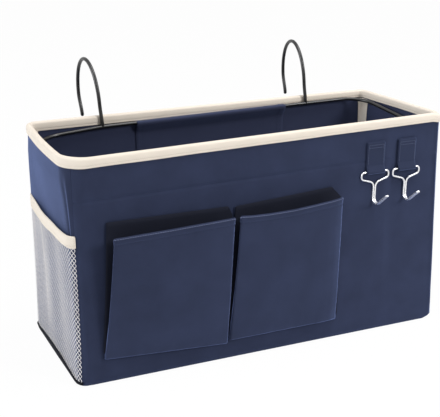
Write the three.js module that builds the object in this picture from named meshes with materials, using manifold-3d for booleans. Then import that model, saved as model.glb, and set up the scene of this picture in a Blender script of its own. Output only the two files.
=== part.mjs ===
// Bedside caddy: a stiff-walled canvas box that hangs from a bed rail by two wire hooks.
// Millimetres, +Z up. The front faces -Y and the origin is the middle of the underside.
import * as THREE from "three";
import { mergeVertices } from "three/addons/utils/BufferGeometryUtils.js";
import Module from "manifold-3d";

const wasm = await Module();
wasm.setup();

// Box
const boxWidth = 370;
const boxDepth = 126;
const boxHeight = 201;
const footRadius = 6; // of the upright corners at the foot
const rimRadii = [20, 9, 9, 9]; // and at the rim: front left, front right, back right, back left

// Layers of a wall, from the outside in
const canvas = 0.7;
const board = 1.8;
const lining = 0.7;
const layerGap = 0.2; // between two layers that lie on each other
const seamGap = 0.3; // between two pieces that meet at a seam
const boardMargin = 22; // how far the boards stop short of the upright corners

// Rim binding, a tape folded over the top edge
const rimTape = 0.7;
const rimDrop = 10;
const rimRound = 2.2;

// Tapes that cover the seams in the inner corners
const cornerTape = 0.7;

// Wire frame just under the binding, with the sleeve that holds its back run
const frameWire = 3.5;
const frameBendRadius = 24;
const frameBelowRim = 7;
const frameClear = 1; // between the frame and the binding, front and back
const frameEndClear = 2.5; // and at the ends
const sleeveWidth = 162;
const sleeveCentre = 3;
const sleeveCloth = 0.8;
const sleeveDrop = 62;
const sleeveTuck = 8; // how far under the wire the sleeve comes back to the wall
const sleeveCover = 3.5; // how far over the wire's middle it reaches

// Hanging hooks, bent from the frame's wire and welded to its back run
const hookOpening = 51;
const hookLean = 2.5;
const hookLeanHeight = 15; // measured up from the rim
const hookArchHeight = 38;
const hookTipDrop = 20;
const hookTipInset = 4.5;
const hookTilt = -4.3; // to the side, in degrees
const weldGap = 0.2;
const copeLength = 14; // of the cutter that copes a hook's foot over the frame
const hooks = [
  { name: "left", place: -111.5, splay: 3 },
  { name: "right", place: 110, splay: -7 },
];

// Front pockets, wedges that stand proud at the mouth
const pocketWidth = 109;
const pocketGap = 4;
const pocketPairCentre = -42;
const pocketBottom = 17;
const pocketHeight = 126;
const pocketCloth = 1;
const pocketHem = 10;
const pocketHemCloth = 1.8;
const pocketFoot = 4; // how far the face stands off the wall at the bottom
const pocketMouth = 18; // and at the mouth
const pocketFoldIn = 7; // how far the middle of a gusset folds inward at the mouth
const pocketFaceDrop = 4; // the face's top edge lies this far below the gussets' ends
const pocketCrown = 1.6;
const pocketCrownShare = 0.5; // how far out from a pocket's middle the crown lies

// Mesh pockets on the ends
const meshTop = 138.5;
const meshBand = 10;
const meshBandTape = 1.5;
const meshHem = 4.5;
const meshHemCloth = 1.3;
const meshThread = 0.8;
const meshStrand = 1.6;
const meshClear = 0.5; // the net's straight strands cut the corners by about this much
const meshSlack = 9; // how far the mouth bulges off the end
const meshWidth = 122; // of the net laid flat
const meshColumns = 9;
const meshRows = 7;

// Webbing tabs with bent-wire accessory hooks
const tabWidth = 19.5;
const tabWebbing = 1.1;
const tabBelowRim = 15;
const tabPairCentre = 131;
const tabSpacing = 35;
const tabPlyGap = 0.2;
const tabPinch = 5.8; // how far over the bar the two plies meet
const hookWire = 1.8;
const hookBarBelowRim = 43;
const hookBarClear = 0.5;
const hookHalfWidth = 14.6;
const hookCurlDrop = 6;
const hookCurlRadius = 2.9;
const hookShoulderDrop = 9.5;
const hookShoulderRadius = 5;
const hookStemDrop = 34;
const hookBendRadius = 4;
const hookReach = 18.5;
const hookRise = 15;
const hookTipRadius = 1;
const hookRunGap = 0.3;
const hookEndGap = 0.8;

// Facets
const arcSteps = 6;
const frameSides = 8;
const hookSides = 6;
const bendStepAngle = Math.PI / 10;
const cornerShare = 0.09; // of a side's way that half a rounded corner takes
const seamShare = 0.003; // of a side's way that is left free at each seam

// Finishes
const finish = (color, roughness, metalness = 0) =>
  new THREE.MeshStandardMaterial({ color, roughness, metalness });
const navyCanvas = finish(0x2b3354, 0.9);
const navyLining = finish(0x1f2540, 0.92);
const creamTape = finish(0xe6dccb, 0.85);
const whiteMesh = finish(0xdfe0ea, 0.8);
const stiffBoard = finish(0xb9b2a4, 0.8);
const blackWire = finish(0x151515, 0.4, 0.6);
const chrome = finish(0xd5d7da, 0.15, 1);

// Worked out from the sizes above
const wall = canvas + layerGap + board + layerGap + lining;
const wallFoot = canvas + layerGap;
const wallTop = boxHeight - rimRound;
const halfWidth = boxWidth / 2;
const halfDepth = boxDepth / 2;
const floorTop = wallFoot + board + layerGap + lining;
const rimBottom = boxHeight - rimDrop;
const tabTop = boxHeight - tabBelowRim;
const hookBarHeight = boxHeight - hookBarBelowRim;

const caddy = new THREE.Group();

// Adds a closed geometry to the part as a named piece, with its faces turned outwards.
function piece(name, geometry, material) {
  const mesh = new THREE.Mesh(facingOut(geometry), material);
  mesh.name = name;
  caddy.add(mesh);
  return mesh;
}

// The signed volume of a closed triangle mesh is negative where its faces point inwards.
function facingOut(geometry) {
  const { position } = geometry.attributes;
  const order = geometry.index ? Array.from(geometry.index.array) : [...Array(position.count).keys()];
  const corner = new THREE.Vector3();
  const [a, b, c] = [new THREE.Vector3(), new THREE.Vector3(), new THREE.Vector3()];
  let volume = 0;
  for (let i = 0; i < order.length; i += 3) {
    a.fromBufferAttribute(position, order[i]);
    b.fromBufferAttribute(position, order[i + 1]);
    c.fromBufferAttribute(position, order[i + 2]);
    volume += corner.crossVectors(b, c).dot(a);
  }
  if (volume < 0) {
    for (let i = 0; i < order.length; i += 3) {
      [order[i + 1], order[i + 2]] = [order[i + 2], order[i + 1]];
    }
    geometry.setIndex(order);
  }
  geometry.computeVertexNormals();
  return geometry;
}

function solidOf(geometry) {
  const bare = geometry.clone().deleteAttribute("normal").deleteAttribute("uv");
  const merged = mergeVertices(bare);
  return new wasm.Manifold(
    new wasm.Mesh({
      numProp: 3,
      vertProperties: merged.attributes.position.array,
      triVerts: new Uint32Array(merged.index.array),
    }),
  );
}

function geometryOf(solid) {
  const { vertProperties, triVerts } = solid.getMesh();
  return new THREE.BufferGeometry()
    .setAttribute("position", new THREE.BufferAttribute(vertProperties, 3))
    .setIndex(new THREE.BufferAttribute(triVerts, 1));
}

function geometryFrom(points, order) {
  return new THREE.BufferGeometry().setFromPoints(points).setIndex(order);
}

// Thickens a flat net of triangles into a closed solid: place(point, side) gives the inner
// point for side 0 and the outer one for side 1, and every open edge gets a wall.
function thicken(points, triangles, place) {
  const outer = points.length;
  const placed = [0, 1].flatMap((side) => points.map((point) => place(point, side)));
  const edges = new Set(triangles.flatMap(([a, b, c]) => [[a, b], [b, c], [c, a]].map(String)));
  const order = triangles.flatMap(([a, b, c]) => [a + outer, b + outer, c + outer, a, c, b]);
  for (const edge of edges) {
    const [a, b] = edge.split(",").map(Number);
    if (!edges.has(String([b, a]))) order.push(a, b, b + outer, a, b + outer, a + outer);
  }
  return geometryFrom(placed, order);
}

// A grid of unit squares, columns by rows, as points and triangles for thicken.
function grid(columns, rows) {
  const points = [];
  const triangles = [];
  for (let row = 0; row <= rows; row++) {
    for (let column = 0; column <= columns; column++) {
      points.push([column, row]);
      if (row === rows || column === columns) continue;
      const a = row * (columns + 1) + column;
      const d = a + columns + 1;
      triangles.push([a, a + 1, d + 1], [a, d + 1, d]);
    }
  }
  return { points, triangles };
}

// Moves an open line sideways by a distance, to its left, with mitred corners.
function offsetLine(line, distance) {
  return line.map((point, i) => {
    const before = line[Math.max(i - 1, 0)];
    const after = line[Math.min(i + 1, line.length - 1)];
    const arriving = i ? point.clone().sub(before).normalize() : after.clone().sub(point).normalize();
    const leaving = i < line.length - 1 ? after.clone().sub(point).normalize() : arriving;
    const middle = arriving.clone().add(leaving).normalize();
    const reach = distance / Math.max(middle.dot(leaving), Number.EPSILON);
    return new THREE.Vector2(point.x - middle.y * reach, point.y + middle.x * reach);
  });
}

function platePlan(width, depth, centreX, centreY) {
  return new THREE.Shape([
    new THREE.Vector2(centreX - width / 2, centreY - depth / 2),
    new THREE.Vector2(centreX + width / 2, centreY - depth / 2),
    new THREE.Vector2(centreX + width / 2, centreY + depth / 2),
    new THREE.Vector2(centreX - width / 2, centreY + depth / 2),
  ]);
}

function roundedPlan(inset) {
  const radius = footRadius - inset;
  const [flatX, flatY] = [halfWidth - footRadius, halfDepth - footRadius];
  const plan = new THREE.Shape();
  plan.absarc(flatX, flatY, radius, 0, Math.PI / 2);
  plan.absarc(-flatX, flatY, radius, Math.PI / 2, Math.PI);
  plan.absarc(-flatX, -flatY, radius, Math.PI, Math.PI * 1.5);
  plan.absarc(flatX, -flatY, radius, Math.PI * 1.5, Math.PI * 2);
  return plan;
}

function raise(plan, bottom, top) {
  return new THREE.ExtrudeGeometry(plan, {
    depth: top - bottom,
    bevelEnabled: false,
    curveSegments: arcSteps,
  }).translate(0, 0, bottom);
}

// The four sides, round the box from the front. A corner has the number of the side after it.
const sides = ["front", "right_end", "back", "left_end"];
const corners = ["front_left", "front_right", "back_right", "back_left"];
const spansOf = (side) => (side % 2 ? [halfDepth, halfWidth] : [halfWidth, halfDepth]);
const quarter = Math.PI / 2;

// A point of one side of the box. Its way is 0 at the seam in the middle of one rounded
// corner and 1 at the seam in the next; out is how far it stands off the outer face.
function facePoint(side, way, height, out) {
  const [halfSpan, halfThrough] = spansOf(side);
  const radiusOf = (corner) => footRadius + ((rimRadii[corner % 4] - footRadius) * height) / boxHeight;
  const [first, last] = [radiusOf(side), radiusOf(side + 1)];
  const before = Math.max(cornerShare - way, 0) / cornerShare;
  const past = Math.max(way - 1 + cornerShare, 0) / cornerShare;
  const radius = before ? first : last;
  const turn = ((past - before) * quarter) / 2;
  const flatWay = THREE.MathUtils.clamp((way - cornerShare) / (1 - 2 * cornerShare), 0, 1);
  const along = THREE.MathUtils.lerp(first - halfSpan, halfSpan - last, flatWay);
  const point = new THREE.Vector3(along, radius - halfThrough, height);
  point.x += (radius + out) * Math.sin(turn);
  point.y -= (radius + out) * Math.cos(turn);
  return point.applyAxisAngle(new THREE.Vector3(0, 0, 1), side * quarter);
}

const cornerWays = Array.from({ length: arcSteps + 1 }, (_, i) => (cornerShare * i) / arcSteps);

// The ways along a side: its two half corners and the steps of the flat between them.
function waysOf(flatSteps) {
  const flat = Array.from({ length: flatSteps - 1 }, (_, i) =>
    THREE.MathUtils.lerp(cornerShare, 1 - cornerShare, (i + 1) / flatSteps),
  );
  return [...cornerWays, ...flat, ...cornerWays.map((way) => 1 - way).reverse()];
}

// A closed strip along stations, each a side and a way, between two heights and two
// distances off the outer face.
function strip(stations, [bottom, top], [near, far], pointOf = facePoint) {
  const { points, triangles } = grid(stations.length - 1, 1);
  return thicken(points, triangles, ([column, row], outer) =>
    pointOf(...stations[column], row ? top : bottom, outer ? far : near),
  );
}

// Walls: canvas, board and lining on each side, and the same three layers in the floor
function buildWalls() {
  const heights = [wallFoot, wallTop];
  const boardFace = canvas + layerGap;
  sides.forEach((name, side) => {
    const [halfSpan, halfThrough] = spansOf(side);
    const stations = waysOf(1).map((way) => [side, THREE.MathUtils.clamp(way, seamShare, 1 - seamShare)]);
    const boardPlan = platePlan(2 * (halfSpan - boardMargin), board, 0, boardFace + board / 2 - halfThrough);
    piece(`${name}_canvas`, strip(stations, heights, [-canvas, 0]), navyCanvas);
    piece(`${name}_board`, raise(boardPlan, ...heights), stiffBoard).rotation.z = side * quarter;
    piece(`${name}_lining`, strip(stations, heights, [-wall, lining - wall]), navyLining);
  });
}

function buildFloor() {
  const inset = wall + seamGap;
  piece("base_canvas", raise(roundedPlan(0), 0, canvas), navyCanvas);
  piece("base_board", raise(roundedPlan(inset), wallFoot, wallFoot + board), stiffBoard);
  piece("base_lining", raise(roundedPlan(inset), floorTop - lining, floorTop), navyLining);
}

// The binding's section: an inverted U whose crown is half an ellipse.
function bindingSection() {
  const middle = -wall / 2;
  const crown = (halfSpan, rise, steps) =>
    Array.from({ length: steps + 1 }, (_, i) => {
      const angle = (Math.PI * i) / steps;
      const across = middle + halfSpan * Math.cos(angle);
      return new THREE.Vector2(across, wallTop + rise * Math.sin(angle));
    });
  const innerHalf = wall / 2 + layerGap;
  const outerHalf = innerHalf + rimTape;
  const outside = crown(outerHalf, rimRound, arcSteps);
  const inside = crown(innerHalf, rimRound - rimTape, arcSteps).reverse();
  const foot = (across) => new THREE.Vector2(middle + across, rimBottom);
  return [foot(outerHalf), ...outside, foot(-outerHalf), foot(-innerHalf), ...inside, foot(innerHalf)];
}

function buildRimBinding() {
  const stations = sides.flatMap((_, side) => waysOf(1).slice(1).map((way) => [side, way]));
  const section = bindingSection();
  const points = stations.flatMap((station) => section.map(({ x, y }) => facePoint(...station, y, x)));
  const order = [];
  const count = section.length;
  stations.forEach((_, i) => {
    const next = (i + 1) % stations.length;
    section.forEach((__, j) => {
      const above = (j + 1) % count;
      const [a, b] = [i * count + j, next * count + j];
      const [c, d] = [next * count + above, i * count + above];
      order.push(a, b, c, a, c, d);
    });
  });
  piece("rim_binding", geometryFrom(points, order), creamTape);
}

function buildCornerTapes() {
  const face = -wall - layerGap;
  const heights = [floorTop + layerGap, rimBottom - seamGap];
  corners.forEach((name, corner) => {
    const arriving = cornerWays.map((way) => [(corner + 3) % 4, 1 - cornerShare + way]);
    const leaving = cornerWays.slice(1).map((way) => [corner, way]);
    const tape = strip([...arriving, ...leaving], heights, [face - cornerTape, face]);
    piece(`${name}_tape`, tape, creamTape);
  });
}

// The corners of a bent wire, rounded to a bend radius, as the points of its centre line.
function bentLine(corners, radii, closed = false) {
  const count = corners.length;
  return corners.flatMap((corner, i) => {
    if (!closed && (i === 0 || i === count - 1)) return [corner];
    const arriving = corner.clone().sub(corners[(i + count - 1) % count]).normalize();
    const leaving = corners[(i + 1) % count].clone().sub(corner).normalize();
    const turn = arriving.angleTo(leaving);
    const radius = Array.isArray(radii) ? radii[i] : radii;
    const inward = leaving.clone().sub(arriving).normalize();
    const centre = corner.clone().addScaledVector(inward, radius / Math.cos(turn / 2));
    const axis = new THREE.Vector3().crossVectors(arriving, leaving).normalize();
    const start = corner.clone().addScaledVector(arriving, -radius * Math.tan(turn / 2)).sub(centre);
    const steps = Math.max(2, Math.ceil(turn / bendStepAngle));
    return Array.from({ length: steps + 1 }, (_, step) =>
      start.clone().applyAxisAngle(axis, (turn * step) / steps).add(centre),
    );
  });
}

// A round wire along a line of points: a ring of points at each, carried along without twist.
function wireAlong(line, diameter, sides, closed = false) {
  const count = line.length;
  const tangents = line.map((_, i) => {
    const before = closed ? line[(i + count - 1) % count] : line[Math.max(i - 1, 0)];
    const after = closed ? line[(i + 1) % count] : line[Math.min(i + 1, count - 1)];
    const arriving = line[i].clone().sub(before).normalize();
    return arriving.add(after.clone().sub(line[i]).normalize()).normalize();
  });
  const across = new THREE.Vector3(0, 0, 1);
  if (Math.abs(tangents[0].z) > Math.SQRT1_2) across.set(1, 0, 0);
  across.addScaledVector(tangents[0], -across.dot(tangents[0])).normalize();
  const turn = new THREE.Quaternion();
  const points = [];
  line.forEach((point, i) => {
    if (i) across.applyQuaternion(turn.setFromUnitVectors(tangents[i - 1], tangents[i]));
    const up = new THREE.Vector3().crossVectors(tangents[i], across);
    const before = closed || i ? line[(i + count - 1) % count] : line[i + 1];
    const stretch = Math.abs(point.clone().sub(before).normalize().dot(tangents[i]));
    const bend = point.clone().sub(before).normalize().addScaledVector(tangents[i], -stretch);
    if (bend.lengthSq() > Number.EPSILON) bend.normalize();
    for (let side = 0; side < sides; side++) {
      const angle = (2 * Math.PI * side) / sides;
      const out = across.clone().multiplyScalar(Math.cos(angle));
      out.addScaledVector(up, Math.sin(angle)).multiplyScalar(diameter / 2);
      out.addScaledVector(bend, out.dot(bend) * (1 / stretch - 1));
      points.push(out.add(point));
    }
  });
  const order = [];
  const rings = closed ? count : count - 1;
  for (let i = 0; i < rings; i++) {
    const next = (i + 1) % count;
    for (let side = 0; side < sides; side++) {
      const beside = (side + 1) % sides;
      const [a, b] = [i * sides + side, i * sides + beside];
      const [c, d] = [next * sides + beside, next * sides + side];
      order.push(a, b, c, a, c, d);
    }
  }
  if (!closed) {
    const last = (count - 1) * sides;
    for (let side = 1; side < sides - 1; side++) {
      order.push(0, side + 1, side, last, last + side, last + side + 1);
    }
  }
  return geometryFrom(points, order);
}

// Wire frame: a closed ring of wire held just inside the rim binding
const frameInset = wall + layerGap + rimTape + frameClear + frameWire / 2;
const frameX = halfWidth - frameInset - frameEndClear + frameClear;
const frameY = halfDepth - frameInset;
const frameHeight = boxHeight - frameBelowRim;

function buildFrame() {
  const bends = [[-1, -1], [1, -1], [1, 1], [-1, 1]].map(
    ([x, y]) => new THREE.Vector3(x * frameX, y * frameY, frameHeight),
  );
  const line = bentLine(bends, frameBendRadius, true);
  piece("wire_frame", wireAlong(line, frameWire, frameSides, true), blackWire);
}

// A hanging hook's centre line, by distance behind and above the frame: a leaning leg,
// half an ellipse over the rail, and a leg that comes back in towards its tip.
function hangingLine() {
  const span = hookOpening + frameWire;
  const shoulder = frameBelowRim + hookLeanHeight;
  const ease = (share) => share * share * (3 - 2 * share);
  const line = [[0, 0]];
  for (let i = 0; i < arcSteps; i++) {
    const share = i / arcSteps;
    line.push([hookLean * ease(share), frameBelowRim + hookLeanHeight * share]);
  }
  const archSteps = 2 * arcSteps;
  for (let i = 0; i <= archSteps; i++) {
    const angle = (Math.PI * i) / archSteps;
    line.push([hookLean + (span * (1 - Math.cos(angle))) / 2, shoulder + hookArchHeight * Math.sin(angle)]);
  }
  for (let i = 1; i <= arcSteps; i++) {
    const share = i / arcSteps;
    line.push([hookLean + span - hookTipInset * ease(share), shoulder - hookTipDrop * share]);
  }
  return line.map(([back, height]) => new THREE.Vector3(0, back, height));
}

function buildHangingHooks() {
  const wire = solidOf(facingOut(wireAlong(hangingLine(), frameWire, frameSides)));
  const copeRadius = frameWire / 2 + weldGap;
  const tilt = THREE.MathUtils.degToRad(hookTilt);
  for (const { name, place, splay } of hooks) {
    const turn = THREE.MathUtils.degToRad(splay);
    const cutter = new THREE.CylinderGeometry(copeRadius, copeRadius, copeLength);
    cutter.rotateZ(quarter).rotateY(-tilt).rotateZ(-turn);
    const coped = geometryOf(wire.subtract(solidOf(cutter)));
    const hook = piece(`hanging_hook_${name}`, coped, blackWire);
    hook.position.set(place, frameY, frameHeight);
    hook.rotation.set(0, tilt, turn);
  }
}

// Turns a side view, drawn as distance out of a wall and height, into a piece of a width.
function acrossWall(line, thickness, width, centreX, wallY) {
  const back = offsetLine(line, thickness / 2);
  const front = offsetLine(line, -thickness / 2).reverse();
  const section = new THREE.Shape([...back, ...front]);
  const geometry = new THREE.ExtrudeGeometry(section, { depth: width, bevelEnabled: false });
  const outwards = new THREE.Vector3(0, -1, 0);
  const upwards = new THREE.Vector3(0, 0, 1);
  const sideways = new THREE.Vector3(-1, 0, 0);
  geometry.applyMatrix4(new THREE.Matrix4().makeBasis(outwards, upwards, sideways));
  return geometry.translate(centreX + width / 2, wallY, 0);
}

// Sleeve: a flap that comes down over the frame's back run and is sewn to the lining
function buildSleeve() {
  const half = sleeveCloth / 2;
  const wallY = halfDepth - wall;
  const tapeFace = layerGap + rimTape + seamGap + half;
  const overWire = frameInset - wall + frameWire / 2 + seamGap + half;
  const onWall = layerGap + half;
  const line = [
    [tapeFace, frameHeight + sleeveCover],
    [overWire, frameHeight + frameWire / 2],
    [overWire, frameHeight - frameWire / 2],
    [onWall, frameHeight - frameWire / 2 - sleeveTuck],
    [onWall, frameHeight - sleeveDrop],
  ].map(([out, height]) => new THREE.Vector2(out, height));
  piece("frame_sleeve", acrossWall(line, sleeveCloth, sleeveWidth, sleeveCentre, wallY), navyLining);
}

// Front pocket at a height share: the line from one wall seam round the face to the other
function pocketLine(share) {
  const half = pocketWidth / 2;
  const depth = pocketFoot + (pocketMouth - pocketFoot) * share;
  const foldIn = pocketFoldIn * share;
  const crown = pocketCrown * Math.sin(Math.PI * share);
  const halfLine = [
    [half, layerGap],
    [half - foldIn, depth / 2],
    [half, depth],
    [half * pocketCrownShare, depth + crown],
  ];
  const mirrored = halfLine.map(([x, out]) => [-x, out]);
  return [...mirrored, ...halfLine.reverse()].map(([x, out]) => new THREE.Vector2(x, out));
}

function pocketGeometry() {
  const hemShare = 1 - pocketHem / pocketHeight;
  const shares = [0, 0.15, 0.35, 0.6, 0.8, hemShare, hemShare, 1];
  const columns = pocketLine(0).length - 1;
  const { points, triangles } = grid(columns, shares.length - 1);
  const hemRow = shares.lastIndexOf(hemShare);
  const place = ([column, row], side) => {
    const share = shares[row];
    const thickness = row >= hemRow ? pocketHemCloth : pocketCloth;
    const line = pocketLine(share);
    const flat = side ? line[column] : offsetLine(line, -thickness)[column];
    const sag = (pocketFaceDrop * share * line[column].y) / pocketMouth;
    const hemStep = row === hemRow ? seamGap : 0;
    const out = Math.max(flat.y, layerGap);
    return new THREE.Vector3(flat.x, -out, pocketBottom + pocketHeight * share - sag + hemStep);
  };
  const shell = solidOf(facingOut(thicken(points, triangles, place)));
  const foot = new THREE.Shape(pocketLine(0).map(({ x, y }) => new THREE.Vector2(x, -y)));
  const floor = raise(foot, pocketBottom, pocketBottom + pocketCloth);
  return geometryOf(shell.add(solidOf(facingOut(floor))));
}

function buildFrontPockets() {
  const step = (pocketWidth + pocketGap) / 2;
  for (const [name, side] of [["left", -1], ["right", 1]]) {
    const pocket = piece(`front_pocket_${name}`, pocketGeometry(), navyCanvas);
    pocket.position.set(pocketPairCentre + side * step, -halfDepth, 0);
  }
}

// Mesh pockets: a point off the face of an end that the slack mesh bulges from
function meshPoint(side, way, height, out) {
  const bulge = meshSlack * Math.sin(Math.PI * way) ** 2 * Math.sqrt(height / meshTop);
  return facePoint(side, way, height, layerGap + bulge + out);
}

// The centre of the circle that touches a triangle's sides, or a rhombus's middle
function middleOf(corners) {
  if (corners.length === 4) return [0, 1].map((axis) => (corners[0][axis] + corners[2][axis]) / 2);
  const sides = corners.map((_, i) => {
    const [b, c] = [corners[(i + 1) % 3], corners[(i + 2) % 3]];
    return Math.hypot(b[0] - c[0], b[1] - c[1]);
  });
  const around = sides[0] + sides[1] + sides[2];
  return [0, 1].map((axis) => corners.reduce((sum, corner, i) => sum + corner[axis] * sides[i], 0) / around);
}

// A net of diamonds with half diamonds along its edges: each cell is a ring of cloth round a
// gap that is the cell drawn in by half a strand.
function netCells(width, height) {
  const [stepX, stepY] = [width / meshColumns, height / meshRows];
  const cells = [];
  for (let i = 0; i <= 2 * meshColumns; i++) {
    for (let j = 0; j <= 2 * meshRows; j++) {
      if ((i + j) % 2) continue;
      const [left, right] = [Math.max(i - 1, 0), Math.min(i + 1, 2 * meshColumns)];
      const [low, high] = [Math.max(j - 1, 0), Math.min(j + 1, 2 * meshRows)];
      const ring = [[i, low], [right, j], [i, high], [left, j]];
      const edge = ring.filter(([x, y], k) => ring.findIndex(([u, v]) => u === x && v === y) === k);
      const corners = edge.length === 4 ? edge.filter(([x, y]) => x !== i || y !== j) : edge;
      const place = ([x, y]) => [(x * stepX) / 2, (y * stepY) / 2];
      cells.push({ edge: edge.map(place), corners: corners.map(place) });
    }
  }
  return cells;
}

function netGeometry(side, bottom, top) {
  const places = new Map();
  const points = [];
  const triangles = [];
  const indexOf = (point) => {
    const key = point.map((value) => value.toFixed(3)).join();
    if (!places.has(key)) {
      places.set(key, points.length);
      points.push(point);
    }
    return places.get(key);
  };
  for (const { edge, corners } of netCells(meshWidth, top - bottom)) {
    const outer = edge.map(indexOf);
    const middle = middleOf(corners);
    const [a, b] = corners;
    const [toA, toB] = [a, b].map(([x, y]) => [x - middle[0], y - middle[1]]);
    const toEdge = Math.abs(toA[0] * toB[1] - toB[0] * toA[1]) / Math.hypot(b[0] - a[0], b[1] - a[1]);
    const share = 1 - meshStrand / 2 / toEdge;
    const drawnIn = (value, axis) => middle[axis] + (value - middle[axis]) * share;
    const inner = edge.map((corner) => indexOf(corner.map(drawnIn)));
    outer.forEach((from, i) => {
      const next = (i + 1) % outer.length;
      triangles.push([from, outer[next], inner[next]], [from, inner[next], inner[i]]);
    });
  }
  return thicken(points, triangles, ([along, up], outer) =>
    meshPoint(side, along / meshWidth, bottom + up, meshClear + outer * meshThread),
  );
}

function buildMeshPockets() {
  const bandBottom = meshTop - meshBand;
  const hemTop = wallFoot + meshHem;
  for (const [name, side] of [["left", 3], ["right", 1]]) {
    const stations = waysOf(arcSteps).map((way) => [side, way]);
    const hem = strip(stations, [wallFoot, hemTop], [0, meshHemCloth], meshPoint);
    const binding = strip(stations, [bandBottom, meshTop], [0, meshBandTape], meshPoint);
    piece(`mesh_hem_${name}`, hem, navyCanvas);
    piece(`mesh_net_${name}`, netGeometry(side, hemTop + seamGap, bandBottom - seamGap), whiteMesh);
    piece(`mesh_binding_${name}`, binding, creamTape);
  }
}

// Webbing tabs: a loop of webbing sewn to the wall, folded round the hook's bar
const loopRadius = hookWire / 2 + hookBarClear + tabWebbing / 2;
const tabBackPly = layerGap + tabWebbing / 2;
const barOut = tabBackPly + loopRadius;

function tabLine() {
  const frontPly = tabBackPly + tabWebbing + tabPlyGap;
  const loop = Array.from({ length: arcSteps + 1 }, (_, i) => {
    const angle = (Math.PI * i) / arcSteps;
    return [barOut - loopRadius * Math.cos(angle), hookBarHeight - loopRadius * Math.sin(angle)];
  });
  const pinch = [frontPly, hookBarHeight + tabPinch];
  const line = [[tabBackPly, tabTop], ...loop, pinch, [frontPly, tabTop]];
  return line.map(([out, height]) => new THREE.Vector2(out, height));
}

// Accessory hook: one wire from inside the loop round a curl, a shoulder and the stem to the
// tip, and back along the other side. Across, out of the wall and up from the bar.
function accessoryLine() {
  const run = (hookWire + hookRunGap) / 2;
  const half = [
    [hookEndGap / 2, 0, 0, 0],
    [hookHalfWidth, 0, 0, hookCurlRadius],
    [hookHalfWidth, 0, -hookCurlDrop, hookCurlRadius],
    [run, 0, -hookShoulderDrop, hookShoulderRadius],
    [run, 0, -hookStemDrop, hookBendRadius],
    [run, -hookReach, hookRise - hookStemDrop, hookTipRadius],
  ];
  const mirrored = half.map(([x, ...rest]) => [-x, ...rest]);
  const path = [...mirrored, ...half.reverse()];
  return bentLine(
    path.map(([x, y, z]) => new THREE.Vector3(x, y, z)),
    path.map(([, , , radius]) => radius),
  );
}

function buildTabs() {
  for (const [name, side] of [["a", -1], ["b", 1]]) {
    const centreX = tabPairCentre + (side * tabSpacing) / 2;
    const webbing = acrossWall(tabLine(), tabWebbing, tabWidth, centreX, -halfDepth);
    piece(`webbing_tab_${name}`, webbing, navyCanvas);
    const hook = piece(`accessory_hook_${name}`, wireAlong(accessoryLine(), hookWire, hookSides), chrome);
    hook.position.set(centreX, -halfDepth - barOut, hookBarHeight);
  }
}

buildWalls();
buildFloor();
buildRimBinding();
buildCornerTapes();
buildFrame();
buildHangingHooks();
buildSleeve();
buildFrontPockets();
buildMeshPockets();
buildTabs();

export default caddy;
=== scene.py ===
"""Bedside caddy: a stiff-walled canvas box with pockets, mesh ends and wire hooks.

Every shape is worked out in millimetres, in the part's own frame: +Z up, the front faces -Y and
the origin is the middle of the underside. Meshes are scaled to metres as they are made.
"""

from __future__ import annotations

import logging
import math
from dataclasses import dataclass, field, replace
from enum import Enum
from typing import Sequence

import bpy
import numpy as np
from mathutils import Matrix

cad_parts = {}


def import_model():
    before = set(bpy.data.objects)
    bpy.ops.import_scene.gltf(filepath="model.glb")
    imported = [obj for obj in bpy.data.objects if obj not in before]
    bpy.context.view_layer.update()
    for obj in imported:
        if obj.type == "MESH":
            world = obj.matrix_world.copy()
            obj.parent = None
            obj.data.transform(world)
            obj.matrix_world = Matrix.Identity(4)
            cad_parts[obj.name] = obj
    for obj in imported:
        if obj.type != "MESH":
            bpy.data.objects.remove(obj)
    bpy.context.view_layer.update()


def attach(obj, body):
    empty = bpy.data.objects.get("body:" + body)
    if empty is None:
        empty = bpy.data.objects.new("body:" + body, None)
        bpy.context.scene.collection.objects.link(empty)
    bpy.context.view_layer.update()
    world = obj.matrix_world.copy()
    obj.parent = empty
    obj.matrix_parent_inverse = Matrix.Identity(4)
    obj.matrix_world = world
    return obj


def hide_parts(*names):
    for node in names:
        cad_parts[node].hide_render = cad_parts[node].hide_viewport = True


Array = np.ndarray
Triple = tuple[float, float, float]
Pair = tuple[float, float]

MILLIMETRE = 0.001
QUARTER = math.pi / 2
FULL = 2.0 * math.pi
FORWARD = np.array([0.0, -1.0, 0.0])
NEVER_ALONG = (0.31, 0.83, 0.22)

log = logging.getLogger("caddy")


class Body(Enum):
    """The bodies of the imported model."""

    CADDY = "caddy"
    HOOK_A = "hook_a"
    HOOK_B = "hook_b"


class Weave(Enum):
    """How the threads of a cloth cross."""

    PLAIN = "plain"
    TWILL = "twill"


class Side(Enum):
    """The four sides, round the box from the front. A corner has its next side's number."""

    FRONT = 0
    RIGHT_END = 1
    BACK = 2
    LEFT_END = 3


# Shape helpers


def smooth_step(value: Array) -> Array:
    """Eases a value from 0 to 1: 3 t squared less 2 t cubed, held at its ends."""
    share = np.clip(value, 0.0, 1.0)
    return share * share * (3.0 - 2.0 * share)


def groove(distance: Array, width: float) -> Array:
    """A bell curve of height 1: e to the power of minus the distance in widths, squared."""
    return np.exp(-((distance / width) ** 2))


def unit(vectors: Array) -> Array:
    """Vectors scaled to length 1 along their last axis."""
    return vectors / np.maximum(np.linalg.norm(vectors, axis=-1, keepdims=True), 1e-12)


def reach_along(line: Array) -> Array:
    """Length along a line at each of its points: the summed distances between them."""
    return np.concatenate([[0.0], np.cumsum(np.linalg.norm(np.diff(line, axis=0), axis=1))])


def read_at(places: Array, reach: Array, values: Array) -> Array:
    """Values at lengths along a line, which change evenly from each of its points to the next.

    Args:
        places: the lengths to read at.
        reach: the length along the line at each of its points.
        values: one row for each point.

    Returns:
        The values of each place, on the last axis.
    """
    return np.stack([np.interp(places, reach, column) for column in values.T], -1)


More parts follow.
